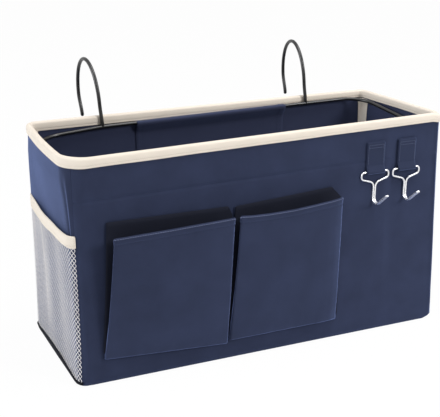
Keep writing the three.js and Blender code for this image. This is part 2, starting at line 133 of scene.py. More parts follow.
def tube_faces(tubes: int, stations: int, sides: int, cap: Sequence[Sequence[int]]) -> Array:
    """Vertex numbers of many alike tubes, whose points come tube by tube and ring by ring.

    Args:
        tubes: how many there are.
        stations: rings of each.
        sides: points of each ring.
        cap: quads of ring numbers that close a tube's last ring, and reversed its first.

    Returns:
        One row of four numbers for each face.
    """
    row = np.arange(stations - 1)[:, None] * sides
    side = np.arange(sides)
    beside = (side + 1) % sides
    walls = np.stack([row + side, row + beside, row + sides + beside, row + sides + side], -1)
    last = np.array(cap) + (stations - 1) * sides
    each = np.vstack([walls.reshape(-1, 4), np.array(cap)[:, ::-1], last])
    return (each[None] + (np.arange(tubes) * stations * sides)[:, None, None]).reshape(-1, 4)


@dataclass(frozen=True)
class Ripple:
    """Soft unevenness of cloth: a sum of sine waves in seeded random directions.

    Attributes:
        seed: picks the waves.
        height: the most that the waves together stand up.
        length: the middle wavelength.
        waves: how many are summed.
    """

    seed: int
    height: float
    length: float
    waves: int = 6

    def at(self, along: Array, up: Array) -> Array:
        """The ripple at places along and up a cloth.

        Args:
            along, up: the places.

        Returns:
            From 0 to the ripple's height.
        """
        random = np.random.default_rng(self.seed)
        turns = random.uniform(0.0, math.pi, self.waves)
        lengths = self.length * random.uniform(0.6, 1.7, self.waves)
        starts = random.uniform(0.0, FULL, self.waves)
        total = sum(
            np.sin((along * math.cos(turn) + up * math.sin(turn)) * FULL / size + start)
            for turn, size, start in zip(turns, lengths, starts)
        )
        return self.height * (0.5 + total / (2.0 * self.waves))

    def other(self, step: int) -> Ripple:
        """Cloth as uneven as this, with the waves of a seed that is a step further on."""
        return replace(self, seed=self.seed + step)


@dataclass
class Skin:
    """Vertices, four-sided faces and cloth coordinates of one mesh, in millimetres.

    Attributes:
        points: one row of x, y, z for each vertex.
        faces: rows of four vertex numbers, facing out.
        cloth: for each face and corner, the place on the flat cloth.
    """

    points: Array
    faces: Array
    cloth: Array


def joined(skins: Sequence[Skin]) -> Skin:
    """Several skins as one."""
    firsts = np.cumsum([0] + [len(skin.points) for skin in skins])
    return Skin(
        np.vstack([skin.points for skin in skins]),
        np.vstack([skin.faces + first for skin, first in zip(skins, firsts)]),
        np.vstack([skin.cloth for skin in skins]),
    )


def grid_quads(rows: int, columns: int) -> Array:
    """Vertex numbers of the quads of a grid, row by row.

    Args:
        rows: points from bottom to top.
        columns: points from left to right.

    Returns:
        One row of four numbers for each quad.
    """
    first = np.arange((rows - 1) * columns).reshape(rows - 1, columns)[:, :-1].ravel()
    return np.stack([first, first + 1, first + 1 + columns, first + columns], 1)


def cloth_places(points: Array) -> Array:
    """Places on the flat cloth: the summed chord lengths along and up a grid of points."""
    along = np.linalg.norm(np.diff(points, axis=1), axis=2).mean(0)
    up = np.linalg.norm(np.diff(points, axis=0), axis=2).mean(1)
    across = np.concatenate([[0.0], np.cumsum(along)])
    height = np.concatenate([[0.0], np.cumsum(up)])
    return np.stack(np.meshgrid(across, height), -1)


def flat_size(points: Array) -> Pair:
    """Width and length in metres of the flat cloth that a grid of points was cut from."""
    corner = cloth_places(points)[-1, -1] * MILLIMETRE
    return float(corner[0]), float(corner[1])


def closed_sheet(outer: Array, inner: Array, rounding: float = 0.45) -> Skin:
    """A sheet with thickness: two grids joined round their edges by a rounded wall.

    The wall's middle line stands out from the mean of the two edges by the thickness times
    the rounding, away from the next row of points inside.

    Args:
        outer: grid of points, rows by columns, that faces out with its columns to the right.
        inner: the same grid on the other side of the cloth.
        rounding: how far the edge swells, as a share of the thickness.

    Returns:
        The closed skin.
    """
    rows, columns = outer.shape[:2]
    count = rows * columns
    number = np.arange(count).reshape(rows, columns)
    loop = np.concatenate([number[0, :-1], number[:-1, -1], number[-1, :0:-1], number[:0:-1, 0]])
    inward = np.concatenate([
        number[1, :-1], number[:-1, -2], number[-2, :0:-1], number[:0:-1, 1],
    ])
    front, back = outer.reshape(-1, 3), inner.reshape(-1, 3)
    thickness = np.linalg.norm(front[loop] - back[loop], axis=1, keepdims=True)
    away = unit(front[loop] - front[inward])
    middle = (front[loop] + back[loop]) / 2.0 + away * thickness * rounding
    points = np.vstack([front, back, middle])
    quads = grid_quads(rows, columns)
    rim = np.arange(len(loop)) + 2 * count
    after = np.roll(loop, -1)
    rim_after = np.roll(rim, -1)
    faces = np.vstack([
        quads,
        quads[:, ::-1] + count,
        np.stack([loop, rim, rim_after, after], 1),
        np.stack([rim, loop + count, after + count, rim_after], 1),
    ])
    flat = cloth_places(outer).reshape(-1, 2)
    places = np.vstack([flat, flat, flat[loop]])
    return Skin(points, faces, places[faces])


def closed_ring(points: Array, section_closed: bool = True) -> Skin:
    """A section carried round a closed path, as a ring of quads.

    Args:
        points: grid, stations by section points; the last station joins the first.
        section_closed: whether the section's last point joins its first.

    Returns:
        The skin, which is closed when the section is.
    """
    full = np.concatenate([points, points[:1]], 0)
    if section_closed:
        full = np.concatenate([full, full[:, :1]], 1)
    stations, around = full.shape[:2]
    quads = grid_quads(stations, around)
    row, column = quads // around, quads % around
    faces = (row % points.shape[0]) * points.shape[1] + column % points.shape[1]
    places = cloth_places(full).reshape(-1, 2)[:, ::-1]
    return Skin(points.reshape(-1, 3), faces, places[quads])


def rounded_line(corners: Array, soften: float, count: int) -> Array:
    """A line through corners, softened by a running mean along its length.

    Args:
        corners: points of the sharp line.
        soften: the width of the running mean.
        count: points of the result, evenly spaced.

    Returns:
        The softened line, with its two ends where they were.
    """
    reach = reach_along(corners)
    ends = np.linspace(0.0, reach[-1], count)
    shifts = np.linspace(-0.5, 0.5, 9) * soften
    room = np.minimum(ends, reach[-1] - ends)[:, None] * 2.0 / max(soften, 1e-9)
    places = ends[:, None] + shifts * np.minimum(room, 1.0)
    return read_at(places, reach, corners).mean(1)


def bent_wire(corners: Array, radii: Sequence[float], closed: bool = False) -> Array:
    """A wire's centre line: straight runs joined by arcs of the given bend radii.

    Each arc is worked out from the turn between its two runs: its centre lies on the turn's
    bisector, the radius over the cosine of half the turn away from the corner.

    Args:
        corners: points where the straight runs would meet.
        radii: one bend radius for each corner.
        closed: whether the last corner runs on to the first.

    Returns:
        Points along the line.
    """
    count = len(corners)
    line: list[Array] = []
    for i, corner in enumerate(corners):
        if not closed and i in (0, count - 1):
            line.append(corner[None])
            continue
        arriving = unit(corner - corners[i - 1])
        leaving = unit(corners[(i + 1) % count] - corner)
        turn = math.acos(float(np.clip(arriving @ leaving, -1.0, 1.0)))
        radius = radii[i]
        centre = corner + unit(leaving - arriving) * radius / math.cos(turn / 2.0)
        first = corner - arriving * radius * math.tan(turn / 2.0) - centre
        second = np.cross(unit(np.cross(arriving, leaving)), first)
        angle = np.linspace(0.0, turn, max(5, int(turn / 0.1)))[:, None]
        line.append(centre + first * np.cos(angle) + second * np.sin(angle))
    return np.vstack(line)


def evenly(line: Array, spacing: float, closed: bool = False) -> Array:
    """A line measured off again in even steps of about the given spacing."""
    whole = np.vstack([line, line[:1]]) if closed else line
    reach = reach_along(whole)
    count = max(3, int(round(reach[-1] / spacing)))
    even = read_at(np.linspace(0.0, reach[-1], count + 1), reach, whole)
    return even[:-1] if closed else even


def round_wire(line: Array, radius: float, sides: int = 16, closed: bool = False) -> Skin:
    """A round wire: a circle square to the line at each of its points.

    The circle's first axis is the tangent crossed with one fixed direction that the line
    never runs along, so no frame has to be carried from point to point.

    Args:
        line: centre line.
        radius: the wire's radius.
        sides: faces round the wire, an even number.
        closed: whether the line joins its own start.

    Returns:
        The closed skin. An open wire has domed ends.
    """
    radii = np.full(len(line), radius)
    if not closed:
        dome = np.array([0.92, 0.7, 0.38])
        rise = np.sqrt(1.0 - dome**2)[:, None] * radius
        start = line[0] - unit(line[1] - line[0]) * rise[::-1]
        end = line[-1] - unit(line[-2] - line[-1]) * rise
        line = np.vstack([start, line, end])
        radii = np.concatenate([dome[::-1] * radius, radii, dome * radius])
        tangent = np.gradient(line, axis=0)
    else:
        tangent = np.roll(line, -1, 0) - np.roll(line, 1, 0)
    tangent = unit(tangent)
    first = unit(np.cross(tangent, NEVER_ALONG))
    second = np.cross(tangent, first)
    angle = np.linspace(0.0, FULL, sides, endpoint=False)[:, None]
    ring = first[:, None] * np.cos(angle) + second[:, None] * np.sin(angle)
    points = line[:, None] + ring * radii[:, None, None]
    if closed:
        return closed_ring(points)
    body = closed_ring(points.transpose(1, 0, 2), section_closed=False)
    stations = len(line)
    caps = np.arange(sides) * stations
    index = np.arange(sides // 2 - 1)
    start = np.stack([caps[index], caps[index + 1], caps[-index - 2], caps[-index - 1]], 1)
    end = start[:, ::-1] + stations - 1
    faces = np.vstack([body.faces, start, end])[:, ::-1]
    unused = np.zeros((2 * len(start), 4, 2))
    return Skin(body.points, faces, np.vstack([body.cloth[:, ::-1], unused]))


def stitches(line: Array, outward: Array, pitch: float, thread: float, share: float = 0.7) -> Skin:
    """A row of stitches: short spindles of thread that lie half sunk along a line.

    Args:
        line: where the seam runs.
        outward: direction away from the cloth, one for the line or one for each point.
        pitch: from one stitch to the next.
        thread: the thread's thickness.
        share: how much of the pitch shows as thread.

    Returns:
        All the spindles as one skin.
    """
    reach = reach_along(line)
    count = max(1, int(reach[-1] / pitch))
    middles = (np.arange(count) + 0.5) * reach[-1] / count
    normals = read_at(middles, reach, np.broadcast_to(outward, line.shape))
    half = pitch * share / 2.0
    ends = [read_at(middles + step, reach, line) for step in (-half, half)]
    along = unit(ends[1] - ends[0])
    across = unit(np.cross(along, normals))
    out = np.cross(across, along)
    lengthwise = np.array([-1.0, -0.72, 0.0, 0.72, 1.0]) * half
    width = np.array([0.22, 0.8, 1.0, 0.8, 0.22]) * thread / 2.0
    lift = np.array([-0.6, 0.1, 0.35, 0.1, -0.6]) * thread / 2.0
    angle = np.linspace(0.0, FULL, 6, endpoint=False)[:, None]
    ring = out[:, None, None] * np.cos(angle) + across[:, None, None] * np.sin(angle)
    spine = read_at(middles, reach, line)[:, None] + along[:, None] * lengthwise[:, None]
    spine = spine + out[:, None] * lift[:, None]
    points = spine[:, :, None] + ring * width[:, None, None]
    faces = tube_faces(count, len(lengthwise), len(angle), [[0, 1, 2, 3], [0, 3, 4, 5]])
    return Skin(points.reshape(-1, 3), faces, np.zeros((len(faces), 4, 2)))


# Finishes


class Shader:
    """Builds the nodes of one material round a Principled BSDF."""

    def __init__(self, name: str) -> None:
        """Starts an empty material with its shader and output."""
        self.material = bpy.data.materials.new(name)
        self.material.use_nodes = True
        self.tree = self.material.node_tree
        self.tree.nodes.clear()
        self.surface = self.node("ShaderNodeBsdfPrincipled")
        output = self.node("ShaderNodeOutputMaterial")
        self.join(self.surface.outputs["BSDF"], output.inputs["Surface"])

    def node(self, kind: str, **settings: object) -> bpy.types.Node:
        """Adds a node and sets its properties."""
        made = self.tree.nodes.new(kind)
        for name, value in settings.items():
            setattr(made, name, value)
        return made

    def join(self, output: bpy.types.NodeSocket, socket: bpy.types.NodeSocket) -> None:
        """Links an output to an input."""
        self.tree.links.new(output, socket)

    def feed(self, socket: bpy.types.NodeSocket, value: object) -> None:
        """Gives an input a linked output or a plain value."""
        if isinstance(value, bpy.types.NodeSocket):
            self.join(value, socket)
        else:
            socket.default_value = value

    def math(self, operation: str, *values: object) -> bpy.types.NodeSocket:
        """A math node over outputs and numbers."""
        made = self.node("ShaderNodeMath", operation=operation)
        for socket, value in zip(made.inputs, values):
            self.feed(socket, value)
        return made.outputs[0]

    def wave(self, place: bpy.types.NodeSocket, pitch: float) -> bpy.types.NodeSocket:
        """Sine of a place in half turns of the pitch."""
        return self.math("SINE", self.math("MULTIPLY", place, math.pi / pitch))

    def noise(self, scale: float, detail: float = 3.0) -> bpy.types.NodeSocket:
        """Noise on Object coordinates."""
        made = self.node("ShaderNodeTexNoise")
        made.inputs["Scale"].default_value = scale
        made.inputs["Detail"].default_value = detail
        self.join(self.node("ShaderNodeTexCoord").outputs["Object"], made.inputs["Vector"])
        return made.outputs["Fac"]

    def varied(
        self, scale: float, middle: float, change: float, detail: float = 3.0
    ) -> bpy.types.NodeSocket:
        """A number that noise moves to either side of its middle."""
        return self.span(self.noise(scale, detail), middle - change, middle + change)

    def dress(self, values: dict[str, object]) -> None:
        """Gives inputs of the surface their linked outputs or plain values."""
        for name, value in values.items():
            self.feed(self.surface.inputs[name], value)

    def span(self, value: bpy.types.NodeSocket, low: float, high: float) -> bpy.types.NodeSocket:
        """Maps a value from 0 to 1 onto a range."""
        made = self.node("ShaderNodeMapRange")
        self.join(value, made.inputs["Value"])
        made.inputs["To Min"].default_value = low
        made.inputs["To Max"].default_value = high
        return made.outputs["Result"]

    def tinted(self, color: Sequence[float], factor: bpy.types.NodeSocket) -> bpy.types.NodeSocket:
        """A colour made lighter or darker by a factor round 1."""
        made = self.node("ShaderNodeVectorMath", operation="SCALE")
        made.inputs[0].default_value = tuple(color)
        self.join(factor, made.inputs["Scale"])
        return made.outputs[0]

    def bump(self, height: bpy.types.NodeSocket, strength: float, distance: float) -> None:
        """Adds relief to the surface, on top of any already there.

        Args:
            height: from 0 to 1.
            strength: how much of the relief shows.
            distance: its full height in metres.
        """
        made = self.node("ShaderNodeBump")
        made.inputs["Strength"].default_value = strength
        made.inputs["Distance"].default_value = distance
        self.join(height, made.inputs["Height"])
        socket = self.surface.inputs["Normal"]
        if socket.is_linked:
            self.join(socket.links[0].from_socket, made.inputs["Normal"])
        self.join(made.outputs["Normal"], socket)


@dataclass(frozen=True)
class ClothFinish:
    """Woven cloth: crossing threads on the cloth's own coordinates, with patchy tone.

    Attributes:
        name: the material's name.
        color: linear colour of the cloth.
        weave: how its threads cross.
        pitch: thread spacing in metres.
        relief: bump strength of the threads.
        patchiness: how much the tone changes over a few centimetres.
        roughness: of the fibres.
        sheen: how much the fuzz lights up at grazing angles.
        sheen_color: its linear colour.
        patch_scale, fibre_scale: of the noise in the tone, in waves per metre.
        gloss: how much it mirrors.
    """

    name: str
    color: Triple
    weave: Weave = Weave.PLAIN
    pitch: float = 0.0006
    relief: float = 0.35
    patchiness: float = 0.1
    roughness: float = 0.86
    sheen: float = 0.9
    sheen_color: Triple = (0.37, 0.5, 1.0)
    patch_scale: float = 42.0
    fibre_scale: float = 1400.0
    gloss: float = 0.12

    def threads(self, shader: Shader) -> bpy.types.NodeSocket:
        """Height of the threads from 0 to 1, with their pitch drifting by noise.

        Plain weave is the product of a sine along the cloth and one up it. Twill is the sine
        of both places together.

        Args:
            shader: the material that the nodes go into.

        Returns:
            The height's output.
        """
        places = shader.node("ShaderNodeSeparateXYZ")
        shader.join(shader.node("ShaderNodeUVMap", uv_map="cloth").outputs["UV"], places.inputs[0])
        along, up = places.outputs["X"], places.outputs["Y"]
        drift = shader.span(shader.noise(180.0, 2.0), -0.5 * self.pitch, 0.5 * self.pitch)
        along = shader.math("ADD", along, drift)
        if self.weave is Weave.PLAIN:
            product = shader.math(
                "MULTIPLY", shader.wave(along, self.pitch), shader.wave(up, self.pitch)
            )
        else:
            product = shader.wave(shader.math("ADD", along, up), self.pitch)
        return shader.math("MULTIPLY_ADD", product, 0.5, 0.5)

    def build(self) -> bpy.types.Material:
        """Makes and returns the material."""
        shader = Shader(self.name)
        threads = self.threads(shader)
        patches = shader.varied(self.patch_scale, 1.0, self.patchiness, 4.0)
        fibres = shader.varied(self.fibre_scale, 1.0, 0.07, 2.0)
        tone = shader.math("MULTIPLY", patches, shader.span(threads, 0.9, 1.1))
        shader.dress({
            "Base Color": shader.tinted(self.color, shader.math("MULTIPLY", tone, fibres)),
            "Roughness": shader.varied(300.0, self.roughness, 0.05),
            "Sheen Weight": self.sheen,
            "Sheen Tint": (*self.sheen_color, 1.0),
            "Sheen Roughness": 0.4,
            "Specular IOR Level": self.gloss,
        })
        shader.bump(threads, self.relief, 0.00018)
        shader.bump(shader.noise(90.0, 3.0), 0.12, 0.0008)
        return shader.material


@dataclass(frozen=True)
class WireFinish:
    """Bare or coated wire with fine drawn unevenness.

    Attributes:
        name: the material's name.
        color: linear colour of its surface.
        metallic: 1 for bare metal and 0 for a coating.
        roughness: of the surface.
    """

    name: str
    color: Triple
    metallic: float
    roughness: float

    def build(self) -> bpy.types.Material:
        """Makes and returns the material."""
        shader = Shader(self.name)
        drawn = shader.noise(500.0)
        shader.dress({
            "Base Color": shader.tinted(self.color, shader.varied(220.0, 1.0, 0.1)),
            "Roughness": shader.span(drawn, self.roughness * 0.75, self.roughness * 1.3),
            "Metallic": self.metallic,
        })
        shader.bump(shader.noise(700.0), 0.08, 0.0001)
        return shader.material


@dataclass(frozen=True)
class BoardFinish:
    """Pressed stiffening board with a mottled face.

    Attributes:
        name: the material's name.
        color: linear colour of its face.
    """

    name: str
    color: Triple

    def build(self) -> bpy.types.Material:
        """Makes and returns the material."""
        shader = Shader(self.name)
        mottled = shader.varied(400.0, 1.0, 0.15, 5.0)
        shader.dress({
            "Base Color": shader.tinted(self.color, mottled),
            "Roughness": shader.span(shader.noise(150.0), 0.7, 0.85),
        })
        shader.bump(shader.noise(900.0), 0.2, 0.0002)
        return shader.material


NAVY = (0.0195, 0.0254, 0.0535)
CREAM = (0.67, 0.602, 0.522)
CREAM_SHEEN = (1.0, 0.95, 0.85)
WHITE = (1.0, 1.0, 1.0)
LINING_PITCH = 0.0005
TAPE_PITCH = 0.0009
WEBBING_PITCH = 0.0007
THREAD_PITCH = 0.0003


def once(finish: ClothFinish | WireFinish | BoardFinish) -> bpy.types.Material:
    """A dataclass field that makes a finish's material together with its owner."""
    return field(default_factory=finish.build)


@dataclass
class Finishes:
    """All finishes of the caddy, each made once."""

    canvas: bpy.types.Material = once(ClothFinish("navy canvas", NAVY, patchiness=0.3))
    lining: bpy.types.Material = once(
        ClothFinish("navy lining", (0.028, 0.034, 0.068), pitch=LINING_PITCH, sheen=0.35)
    )
    # The net's foot hem: darker than the canvas, painting the shade along the foot of the ends.
    hem: bpy.types.Material = once(
        ClothFinish("dark hem", (0.006, 0.007, 0.011), pitch=LINING_PITCH, sheen=0.0)
    )
    # The dark sheet behind each front pocket: its near-black colour is painted shade inside the
    # pocket.
    shade: bpy.types.Material = once(
        ClothFinish("dark pocket painted shade", (0.009, 0.0105, 0.019), pitch=LINING_PITCH, sheen=0.1)
    )
    webbing: bpy.types.Material = once(
        ClothFinish(
            "navy webbing", (0.019, 0.025, 0.052), Weave.TWILL, WEBBING_PITCH, relief=0.3,
            sheen=0.6,
        )
    )
    tape: bpy.types.Material = once(
        ClothFinish(
            "cream tape", CREAM, Weave.TWILL, TAPE_PITCH, relief=0.4, patchiness=0.05,
            sheen=0.15, sheen_color=CREAM_SHEEN,
        )
    )
    mesh: bpy.types.Material = once(
        ClothFinish(
            "white mesh", (0.85, 0.825, 0.82), Weave.TWILL, LINING_PITCH, relief=0.2,
            patchiness=0.05, sheen=0.1, sheen_color=WHITE,
        )
    )
    navy_thread: bpy.types.Material = once(
        ClothFinish("navy thread", (0.029, 0.036, 0.07), Weave.TWILL, THREAD_PITCH, sheen=0.3)
    )
    # Pale thread: real on the tabs' stitches, and a painted highlight along the pockets' mouths.
    pale_thread_and_highlight: bpy.types.Material = once(
        ClothFinish("pale navy thread and highlight", (0.1, 0.115, 0.18), Weave.TWILL, THREAD_PITCH, sheen=0.3)
    )
    cream_thread: bpy.types.Material = once(
        ClothFinish(
            "cream thread", (0.74, 0.67, 0.58), Weave.TWILL, THREAD_PITCH, sheen=0.15,
            sheen_color=CREAM_SHEEN,
        )
    )
    board: bpy.types.Material = once(BoardFinish("stiff board", (0.48, 0.45, 0.38)))
    black_wire: bpy.types.Material = once(
        WireFinish("black wire", (0.004, 0.004, 0.0045), 0.0, 0.3)
    )
    chrome: bpy.types.Material = once(WireFinish("chrome wire", (0.84, 0.84, 0.85), 0.9, 0.27))


# The object's own frame


@dataclass(frozen=True)
class Piece:
    """How a finished piece is named and what it stands for.

    Attributes:
        name: of the piece.
        slot: its colour slot.
        replaces: nodes of the CAD that it takes the place of.
        body: what it moves with.
    """

    name: str
    slot: str
    replaces: tuple[str, ...] = ()
    body: Body = Body.CADDY


def publish(piece: Piece, skin: Skin, material: bpy.types.Material) -> bpy.types.Object:
    """Makes a piece's mesh in metres and hands it to its body.

    Args:
        piece: name, slot, replaced nodes and body.
        skin: its shape in millimetres.
        material: its finish.

    Returns:
        The object, which sits unturned at the origin.
    """
    mesh = bpy.data.meshes.new(piece.name)
    points = np.ascontiguousarray(skin.points, np.float64) * MILLIMETRE
    mesh.from_pydata(points, [], skin.faces.tolist())
    layer = mesh.uv_layers.new(name="cloth")
    layer.data.foreach_set("uv", (skin.cloth.reshape(-1) * MILLIMETRE).astype(np.float32))
    mesh.shade_smooth()
    mesh.set_sharp_from_angle(angle=math.radians(50.0))
    mesh.materials.append(material)
    mesh.update()
    made = bpy.data.objects.new(piece.name, mesh)
    bpy.context.scene.collection.objects.link(made)
    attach(made, piece.body.value)
    if piece.replaces:
        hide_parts(*piece.replaces)
    log.info("%s: %d faces", piece.name, len(skin.faces))
    return made


@dataclass(frozen=True)
class BoxForm:
    """The box's rounded walls, and how the sewn cloth has settled out of true.

    Corners are counted from the front left one, by way of the front right one.

    Attributes:
        width, depth, height: outer size.
        foot_radii, rim_radii: of the corners at the foot and at the rim.
        radius_power: power of the height with which they change.
        corner_share: how much of a side's way its part of a rounded corner takes.
        seam_turns: how much of each corner's quarter turn the side that arrives there takes.
        canvas, board, lining: how thick each sheet of a wall is.
        gap: between two of them.
        foot_settle, rim_settle: how far the corners have moved at the foot and rim.
        middle_settle: how much further they have moved half way up.
        settle_fade: power with which the foot's moves fade upwards.
        end_bow: how far the middle of the left end's rim has moved along x.
        foot_lifts: how far the rounded corners of the foot stand off the floor.
        rim_drops: how far the rim sinks at its corners.
        lift_reach: how far from a corner both are measured, along its two sides together.
        lift_start, lift_ease: where they begin past that, and how far on they are whole.
        lift_height: where the foot's lift has faded away.
        drop_power: power of the height with which the rim's drop fades downwards.
    """

    width: float = 370.0
    depth: float = 126.0
    height: float = 201.0
    foot_radii: tuple[float, ...] = (8.0, 6.0, 6.0, 6.0)
    rim_radii: tuple[float, ...] = (24.0, 4.0, 9.0, 9.0)
    radius_power: float = 7.0
    corner_share: float = 0.09
    seam_turns: tuple[float, ...] = (0.52, 0.5, 0.5, 0.5)
    canvas: float = 0.7
    board: float = 1.8
    lining: float = 0.7
    gap: float = 0.2
    foot_settle: tuple[Triple, ...] = (
        (5.2, -5.8, 0.0), (3.4, -10.4, 0.0), (0.2, 0.0, 0.0), (4.8, 5.1, 0.0),
    )
    middle_settle: tuple[Triple, ...] = (
        (3.6, 0.0, 0.0), (2.4, 0.0, 0.0), (0.0, 0.0, 0.0), (1.4, 0.0, 0.0),
    )
    rim_settle: tuple[Triple, ...] = (
        (0.8, -0.7, -0.6), (2.2, 0.0, 6.3), (0.1, 0.3, 7.4), (1.8, -0.4, 5.2),
    )
    settle_fade: float = 1.8
    end_bow: float = -3.4
    foot_lifts: tuple[float, ...] = (0.4, 3.6, 2.0, 2.0)
    rim_drops: tuple[float, ...] = (0.0, 1.5, 0.0, 0.0)
    lift_reach: float = 12.0
    lift_start: float = 2.5
    lift_ease: float = 6.5
    lift_height: float = 30.0
    drop_power: int = 8

    @property
    def wall(self) -> float:
        """Thickness of a wall: canvas, board and lining with a gap between each two."""
        return self.canvas + self.gap + self.board + self.gap + self.lining

    def spans(self, side: Side) -> Pair:
        """Half of a side's length, and half of the size square to it."""
        halves = (self.width / 2.0, self.depth / 2.0)
        return halves[::-1] if side.value % 2 else halves

    def radius(self, corner: int, height: Array) -> Array:
        """A corner's radius, which changes from the foot to the rim, mostly near the rim."""
        foot, rim = self.foot_radii[corner % 4], self.rim_radii[corner % 4]
        return foot + (rim - foot) * np.clip(height / self.height, 0.0, 1.0) ** self.radius_power

    def flat_point(self, side: Side, way: Array, height: Array, out: Array) -> Array:
        """A point of a side before it settles.

        The way runs from 0 at the seam in the middle of one rounded corner to 1 at the next
        seam. In a corner the point turns about the corner's centre at radius plus out, and
        between the corners it runs straight.

        Args:
            side: which side of the box.
            way: from 0 to 1 along the side.
            height: above the underside.
            out: off the outer face.

        Returns:
            Points with x, y and z on the last axis.
        """
        way, height, out = np.broadcast_arrays(way, height, out)
        half_span, half_through = self.spans(side)
        first, last = self.radius(side.value, height), self.radius(side.value + 1, height)
        before = np.maximum(self.corner_share - way, 0.0) / self.corner_share
        past = np.maximum(way - 1.0 + self.corner_share, 0.0) / self.corner_share
        radius = np.where(before > 0.0, first, last)
        arriving = self.seam_turns[(side.value + 1) % 4]
        leaving = 1.0 - self.seam_turns[side.value]
        turn = (past * arriving - before * leaving) * QUARTER
        flat = np.clip((way - self.corner_share) / (1.0 - 2.0 * self.corner_share), 0.0, 1.0)
        along = (first - half_span) * (1.0 - flat) + (half_span - last) * flat
        x = along + (radius + out) * np.sin(turn)
        y = radius - half_through - (radius + out) * np.cos(turn)
        return self.turned(side, x, y, height)

    def turned(self, side: Side, x: Array, y: Array, z: Array) -> Array:
        """Points given as if their side were the front, turned to where the side is."""
        cosine, sine = math.cos(side.value * QUARTER), math.sin(side.value * QUARTER)
        return np.stack([x * cosine - y * sine, x * sine + y * cosine, z], -1)

    def settle(self, points: Array) -> Array:
        """Moves points as the cloth has settled: a blend of the corners' moves.

        A corner's weight is the product of a point's nearness to it along x and y. Its move at
        the foot fades upwards, its move at the rim grows upwards, and its move half way up
        follows a parabola. The foot is lifted and the rim lowered by an eased share of how far
        a point is into a corner. The left end bows by a parabola along its depth.

        Args:
            points: before they settle.

        Returns:
            The moved points.
        """
        u = np.clip(points[..., 0] / self.width + 0.5, 0.0, 1.0)[..., None]
        v = np.clip(points[..., 1] / self.depth + 0.5, 0.0, 1.0)[..., None]
        t = np.clip(points[..., 2] / self.height, 0.0, 1.0)[..., None]
        weights = ((1.0 - u) * (1.0 - v), u * (1.0 - v), u * v, (1.0 - u) * v)
        foot, middle, rim, lift, drop = (
            sum(weight * np.array(move) for weight, move in zip(weights, moves))
            for moves in (
                self.foot_settle, self.middle_settle, self.rim_settle, self.foot_lifts,
                self.rim_drops,
            )
        )
        into = sum(
            np.maximum(np.abs(points[..., axis]) - half + self.lift_reach, 0.0)
            for axis, half in enumerate((self.width / 2.0, self.depth / 2.0))
        )[..., None]
        share = smooth_step((into - self.lift_reach - self.lift_start) / self.lift_ease)
        fade = np.clip(1.0 - points[..., 2:3] / self.lift_height, 0.0, 1.0)
        raised = share * (lift * fade - drop * t**self.drop_power)
        moved = points + (1.0 - t) ** self.settle_fade * foot + t * rim
        moved = moved + 4.0 * t * (1.0 - t) * middle
        bow = 4.0 * self.end_bow * v * (1.0 - v) * (1.0 - u) ** 4 * t**3
        return moved + np.concatenate([bow, 0.0 * bow, raised], -1)

    def point(self, side: Side, way: Array, height: Array, out: Array) -> Array:
        """A settled point of a side."""
        return self.settle(self.flat_point(side, way, height, out))

    def ways(self, flat_steps: int, corner_steps: int = 10) -> Array:
        """Ways along a side, dense in its two half corners."""
        corner = np.linspace(0.0, self.corner_share, corner_steps + 1)
        flat = np.linspace(self.corner_share, 1.0 - self.corner_share, flat_steps + 1)
        return np.concatenate([corner, flat[1:-1], 1.0 - corner[::-1]])


@dataclass
class Part:
    """What each part of the caddy is built with: the box's form and the finishes."""

    form: BoxForm
    finishes: Finishes


